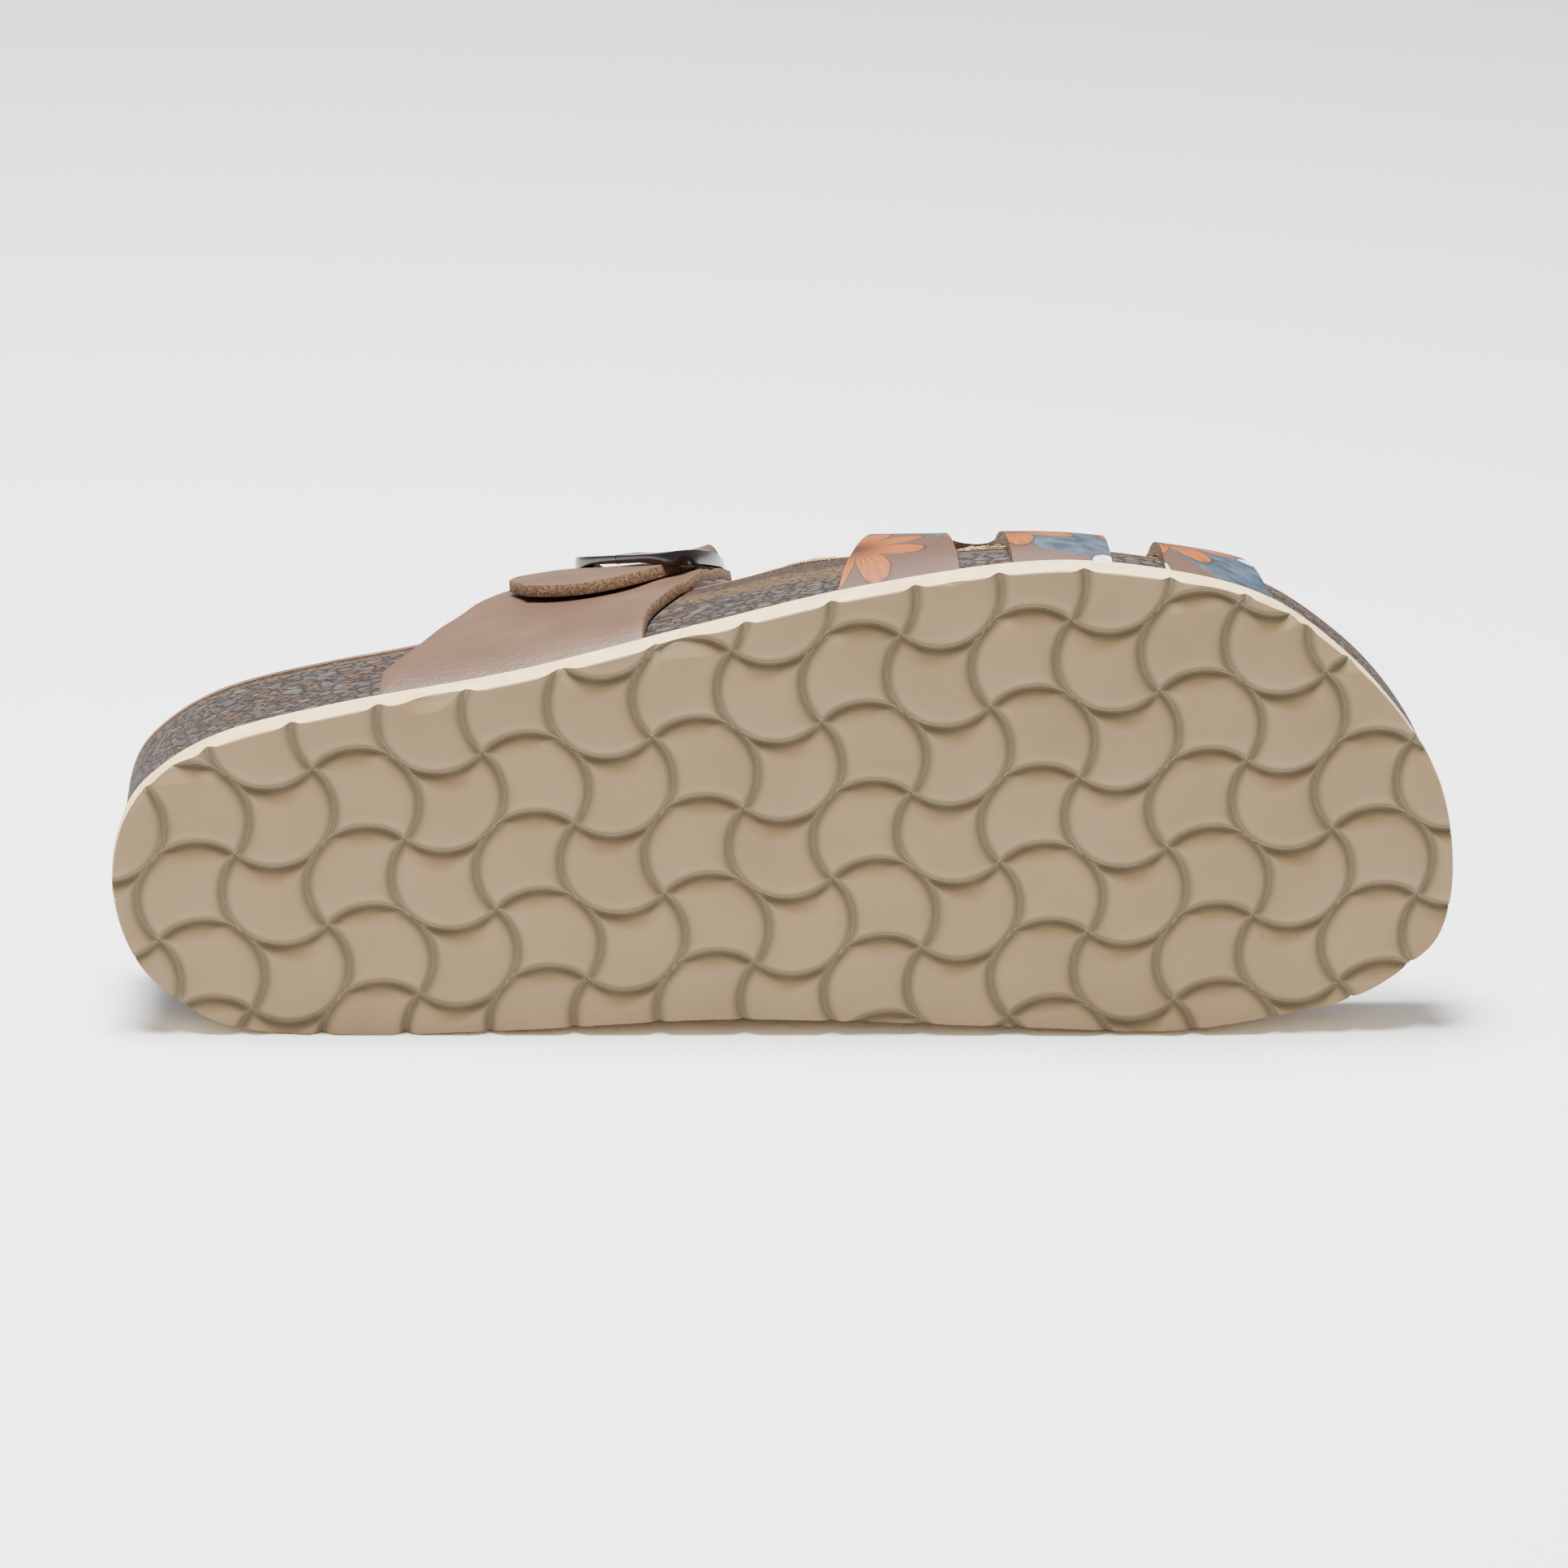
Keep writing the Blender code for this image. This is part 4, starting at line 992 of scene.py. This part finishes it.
def hole_plug():
    """The oval plug that cuts the hole for the prong."""
    vertices = [strap_place(HOLE_STEP + HOLE_LONG * cos(angle), 0.5 + HOLE_WIDE * sin(angle), lift)
                for lift in PLUG_LIFTS for angle in circle(HOLE_SIDES)]
    return cutter_of("plug", vertices, [(0, HOLE_SIDES)])


strap = bevelled(sheet("buckled_strap", strap_grid(STRAP, *STRAP_GRID, "inner", STRAP_CREASES), outward=False))
boolean(strap, hole_plug())
keep(strap, [leather, edge], "instep_strap")

# %% [markdown]
# The buckle is a flat ribbon of metal bent to a rounded frame, with a pin on its bar.  It is plated
# and polished dark, so it is nearly a mirror and takes its look from the lights round it.  Two small
# leather saddles hold the bar down on the quarter.

# %% Buckle
BAR_STEP, END_STEP = 6.05, 8.35
FRAME_SIDE, RAIL_STEP, RAIL_SHARE = 0.54, 0.28, 0.10
FRAME_TURNS, FRAME_CORNER = 128, 0.36
RIBBON, SIDE_DROP = 0.0016, 0.0013
BAR_LIFT, FRAME_LIFT = LEATHER + GAP, 0.0056
PRONG_RADIUS, END_TAPER, PRONG_SAMPLES = 0.0009, 0.55, 30


def signed_power(value, power):
    """A power that keeps the sign."""
    return abs(value) ** power * (1 if value > 0 else -1)


def frame_lift(step):
    """Lift of the frame's underside: over the strap at its end, down on the quarter at its bar."""
    slope = min(max((step - BAR_STEP) / (END_STEP - BAR_STEP), 0.0), 1.0)
    return BAR_LIFT + (FRAME_LIFT - BAR_LIFT) * slope


def frame_ribbon():
    """The rail round the rounded rectangle."""
    middle, half = (BAR_STEP + END_STEP) / 2, (END_STEP - BAR_STEP) / 2
    vertices = []
    for angle in circle(FRAME_TURNS):
        along, aside = signed_power(cos(angle), FRAME_CORNER), signed_power(sin(angle), FRAME_CORNER)
        drop = SIDE_DROP * max(0.0, abs(aside) - 0.5) * 2
        drop = min(drop, frame_lift(middle + along * half) - BAR_LIFT)
        for rail, rise in ((0, -drop), (1, -drop), (1, RIBBON), (0, RIBBON)):
            step = middle + along * (half + rail * RAIL_STEP)
            share = 0.5 + aside * (FRAME_SIDE + rail * RAIL_SHARE)
            vertices.append(strap_place(step, share, frame_lift(step) + rise))
    faces = []
    for i in range(FRAME_TURNS):
        a, b = 4 * i, 4 * ((i + 1) % FRAME_TURNS)
        faces += [(a + k, a + (k + 1) % 4, b + (k + 1) % 4, b + k) for k in range(4)]
    made = new_object("polished_frame", vertices, faces)
    face_outwards(made)
    return bevelled(made, 0.0003)


PRONG_START, PRONG_REST = BAR_LIFT + PRONG_RADIUS, FRAME_LIFT + 0.0008
PRONG_ROUTE = [(BAR_STEP + .13, PRONG_START), (HOLE_STEP - .26, PRONG_START + .0004),
               (HOLE_STEP - .06, PRONG_START + .0023), (HOLE_STEP + .17, PRONG_REST - .0007),
               (HOLE_STEP + .37, PRONG_REST), (7.5, PRONG_REST), (8.1, PRONG_REST),
               (END_STEP + RAIL_STEP, PRONG_REST)]


def tube(name, line, above, radius, sides=16):
    """A closed round bar along a line; above is a line over it that fixes which way is up."""
    vertices, last = [], len(line) - 1
    for i, point in enumerate(line):
        along = (line[min(i + 1, last)] - line[max(i - 1, 0)]).normalized()
        aside = along.cross(above[i] - point).normalized()
        upward = aside.cross(along)
        ends = radius * (END_TAPER if i in (0, last) else 1.0)
        vertices += [point + (aside * cos(a) + upward * sin(a)) * ends for a in circle(sides)]
    caps = [tuple(range(sides)), tuple(last * sides + k for k in range(sides))]
    made = new_object(name, vertices, caps + quads(len(line), sides))
    face_outwards(made)
    return made


def prong_places(extra):
    """The prong's route as points, smooth, with closer ones at its ends."""
    last = len(PRONG_ROUTE) - 1
    steps = [0.0, 0.06] + across(0.25, last - 0.25, PRONG_SAMPLES) + [last - 0.06, float(last)]
    places = [drawn(PRONG_ROUTE, step) for step in steps]
    return [strap_place(step, 0.5, lift + extra) for step, lift in places]


def gunmetal():
    """Dark nickel plating, polished: a mirror with a faint brown tint and hairline rubs."""
    made, tree, shader = material("dark_nickel_plating", 0.16, 1.0, "#4A4543")
    rubs = noise(tree, place_on(tree), 700.0, 3.0)
    tree.links.new(fade(tree, rubs, 0.0, 1.0, 0.10, 0.28), shader.inputs["Roughness"])
    return made


metal = gunmetal()
keep(frame_ribbon(), [metal], "buckle_frame")
prong = tube("polished_prong", prong_places(0.0), prong_places(PRONG_RADIUS), PRONG_RADIUS)
keep(prong, [metal], "buckle_prong")

# %% Keepers
KEEPER, KEEPER_HALF, KEEPER_GRID = 0.0010, 0.09, (31, 7)
KEEPER_OVER = BAR_LIFT + RIBBON + GAP
KEEPER_PROFILE = [(-.75, BAR_LIFT), (-.45, BAR_LIFT), (-.22, KEEPER_OVER), (0.0, KEEPER_OVER),
                  (.22, KEEPER_OVER), (.45, BAR_LIFT), (.70, BAR_LIFT)]


def keeper(name, middle):
    """A leather saddle over the bar, smooth along its profile."""
    grid = []
    for place in across(0, len(KEEPER_PROFILE) - 1, KEEPER_GRID[0]):
        along, lift = drawn(KEEPER_PROFILE, place)
        step, lift = BAR_STEP - RAIL_STEP / 2 + along, max(BAR_LIFT, lift)
        shares = across(middle - KEEPER_HALF, middle + KEEPER_HALF, KEEPER_GRID[1])
        grid.append([strap_place(step, share, lift) for share in shares])
    return bevelled(sheet(name, grid, KEEPER, outward=False), 0.0002)


keep(keeper("saddle_upper", 0.27), [leather, edge], "buckle_keeper_upper")
keep(keeper("saddle_lower", 0.73), [leather, edge], "buckle_keeper_lower")

# %% [markdown]
# Where cork, jute and suede end at the rim, straw-coloured threads stick out, most of them beside
# the forefoot upper.  They repeat, so Geometry Nodes make them: points along a short line, a bent
# fibre on each, and random turns and lengths from one fixed seed.

# %% Frayed threads with Geometry Nodes
FRAYS = [(0.1270, 0.1350, 50), (0.1583, 0.1665, 34)]
FIRST_SEED = 6


def rim_line(start, end):
    """Points along the outer rim, at the seam under the liner."""
    return [wall_point(x, "outer", rim_z["outer"](x) - LINER, -0.0001) for x in across(start, end, 12)]


tree, given = group_with("frayed_threads", [
    ("Rim", "NodeSocketObject", None), ("Count", "NodeSocketInt", 40), ("Length", "NodeSocketFloat", 0.0017),
    ("Thickness", "NodeSocketFloat", 0.00006), ("Seed", "NodeSocketInt", 7),
    ("Material", "NodeSocketMaterial", material("jute_thread", 0.9, colour="#C9AE84")[0])])
rim_info = add(tree, "GeometryNodeObjectInfo", {"Object": given["Rim"]})
line = add(tree, "GeometryNodeMeshToCurve", {"Mesh": rim_info.outputs["Geometry"]})
spots = add(tree, "GeometryNodeCurveToPoints", {0: line.outputs[0], "Count": given["Count"]}, mode="COUNT")
size = add(tree, "ShaderNodeCombineXYZ", {"X": given["Length"]})
bend = vectors(tree, "MULTIPLY", size.outputs[0], (0.6, 0.0, 0.0))
raised = vectors(tree, "ADD", bend, (0.0, 0.0, 0.0006))
fibre = add(tree, "GeometryNodeCurveQuadraticBezier", {"Resolution": 5, "Start": (0, 0, 0),
                                                       "Middle": raised, "End": size.outputs[0]})
round_wire = add(tree, "GeometryNodeCurvePrimitiveCircle", {"Resolution": 4, "Radius": given["Thickness"]})
solid = add(tree, "GeometryNodeCurveToMesh", {"Curve": fibre.outputs[0], "Fill Caps": True,
                                              "Profile Curve": round_wire.outputs[0]})
turns = add(tree, "FunctionNodeRandomValue", {"Min": (-0.5, -0.1, -0.3), "Max": (0.5, 0.6, 0.2),
                                              "Seed": given["Seed"]}, data_type="FLOAT_VECTOR")
sizes = add(tree, "FunctionNodeRandomValue", {2: 0.35, 3: 1.25, "Seed": given["Seed"]}, data_type="FLOAT")
spread = add(tree, "GeometryNodeInstanceOnPoints", {
    "Points": spots.outputs[0], "Instance": solid.outputs[0], "Rotation": turns.outputs[0],
    "Scale": sizes.outputs[1]})
real = add(tree, "GeometryNodeRealizeInstances", {0: spread.outputs[0]})
coloured = add(tree, "GeometryNodeSetMaterial", {0: real.outputs[0], "Material": given["Material"]})
add(tree, "NodeGroupOutput", {"Geometry": coloured.outputs[0]})
for number, (start, end, count) in enumerate(FRAYS, 1):
    points = rim_line(start, end)
    guide = new_object("rim_line", points, [], [(i, i + 1) for i in range(len(points) - 1)])
    inputs = {"Rim": guide, "Count": count, "Seed": FIRST_SEED + number}
    threads = run_group("frayed_threads_%d" % number, tree, inputs)
    bpy.data.objects.remove(guide, do_unlink=True)
    keep(threads, list(threads.data.materials))

# %% [markdown]
# The studio: a plain pale floor, one broad soft light overhead that grazes the tread, and a weak
# even sky.  The camera stands where the photograph was taken from, solved from the tread's
# lattice, and is given in the sandal's own frame, so it is laid down with the sandal.

# %% Floor, light and camera
floor_mesh = new_object("floor", [(-3, -3, 0), (3, -3, 0), (3, 3, 0), (-3, 3, 0)], [(0, 1, 2, 3)])
floor_mesh.data.materials.append(material("studio_paper", 0.9, colour="#F6F6F6")[0])

world = bpy.data.worlds.new("studio")
bpy.context.scene.world = world
world.use_nodes = True
sky = world.node_tree.nodes["Background"]
sky.inputs["Color"].default_value = linear("#F4F5F7")
sky.inputs["Strength"].default_value = 0.6

LAMP_PLACE, LAMP_TARGET = Vector((-0.15, -0.12, 1.2)), Vector((0, 0, 0.04))
lamp = bpy.data.lights.new("overhead", "AREA")
lamp.size, lamp.energy = 0.5, 66.0
overhead = link("overhead", lamp)
overhead.location = LAMP_PLACE
overhead.rotation_euler = (LAMP_TARGET - LAMP_PLACE).to_track_quat("-Z", "Y").to_euler()

CAMERA_PLACE = Vector((38.4, -499.6, -1194.9)) * MM
CAMERA_RIGHT = Vector((0.9967, 0.0173, -0.0784))
CAMERA_BACK = Vector((-0.0660, -0.3796, -0.9228))
PHOTO_WIDTH, FOCAL_PIXELS = 1932, 8684.9
camera = bpy.data.cameras.new("camera")
camera.sensor_width = 36.0
camera.lens = FOCAL_PIXELS / PHOTO_WIDTH * camera.sensor_width
camera.clip_start = 0.05
viewer = link("camera", camera)
up = CAMERA_BACK.cross(CAMERA_RIGHT).normalized()
right = up.cross(CAMERA_BACK).normalized()
turned = Matrix((right, up, CAMERA_BACK.normalized())).transposed().to_4x4()
viewer.matrix_world = LAY @ Matrix.Translation(CAMERA_PLACE) @ turned
bpy.context.scene.camera = viewer
print("camera height in mm:", round(viewer.matrix_world.translation.z / MM))
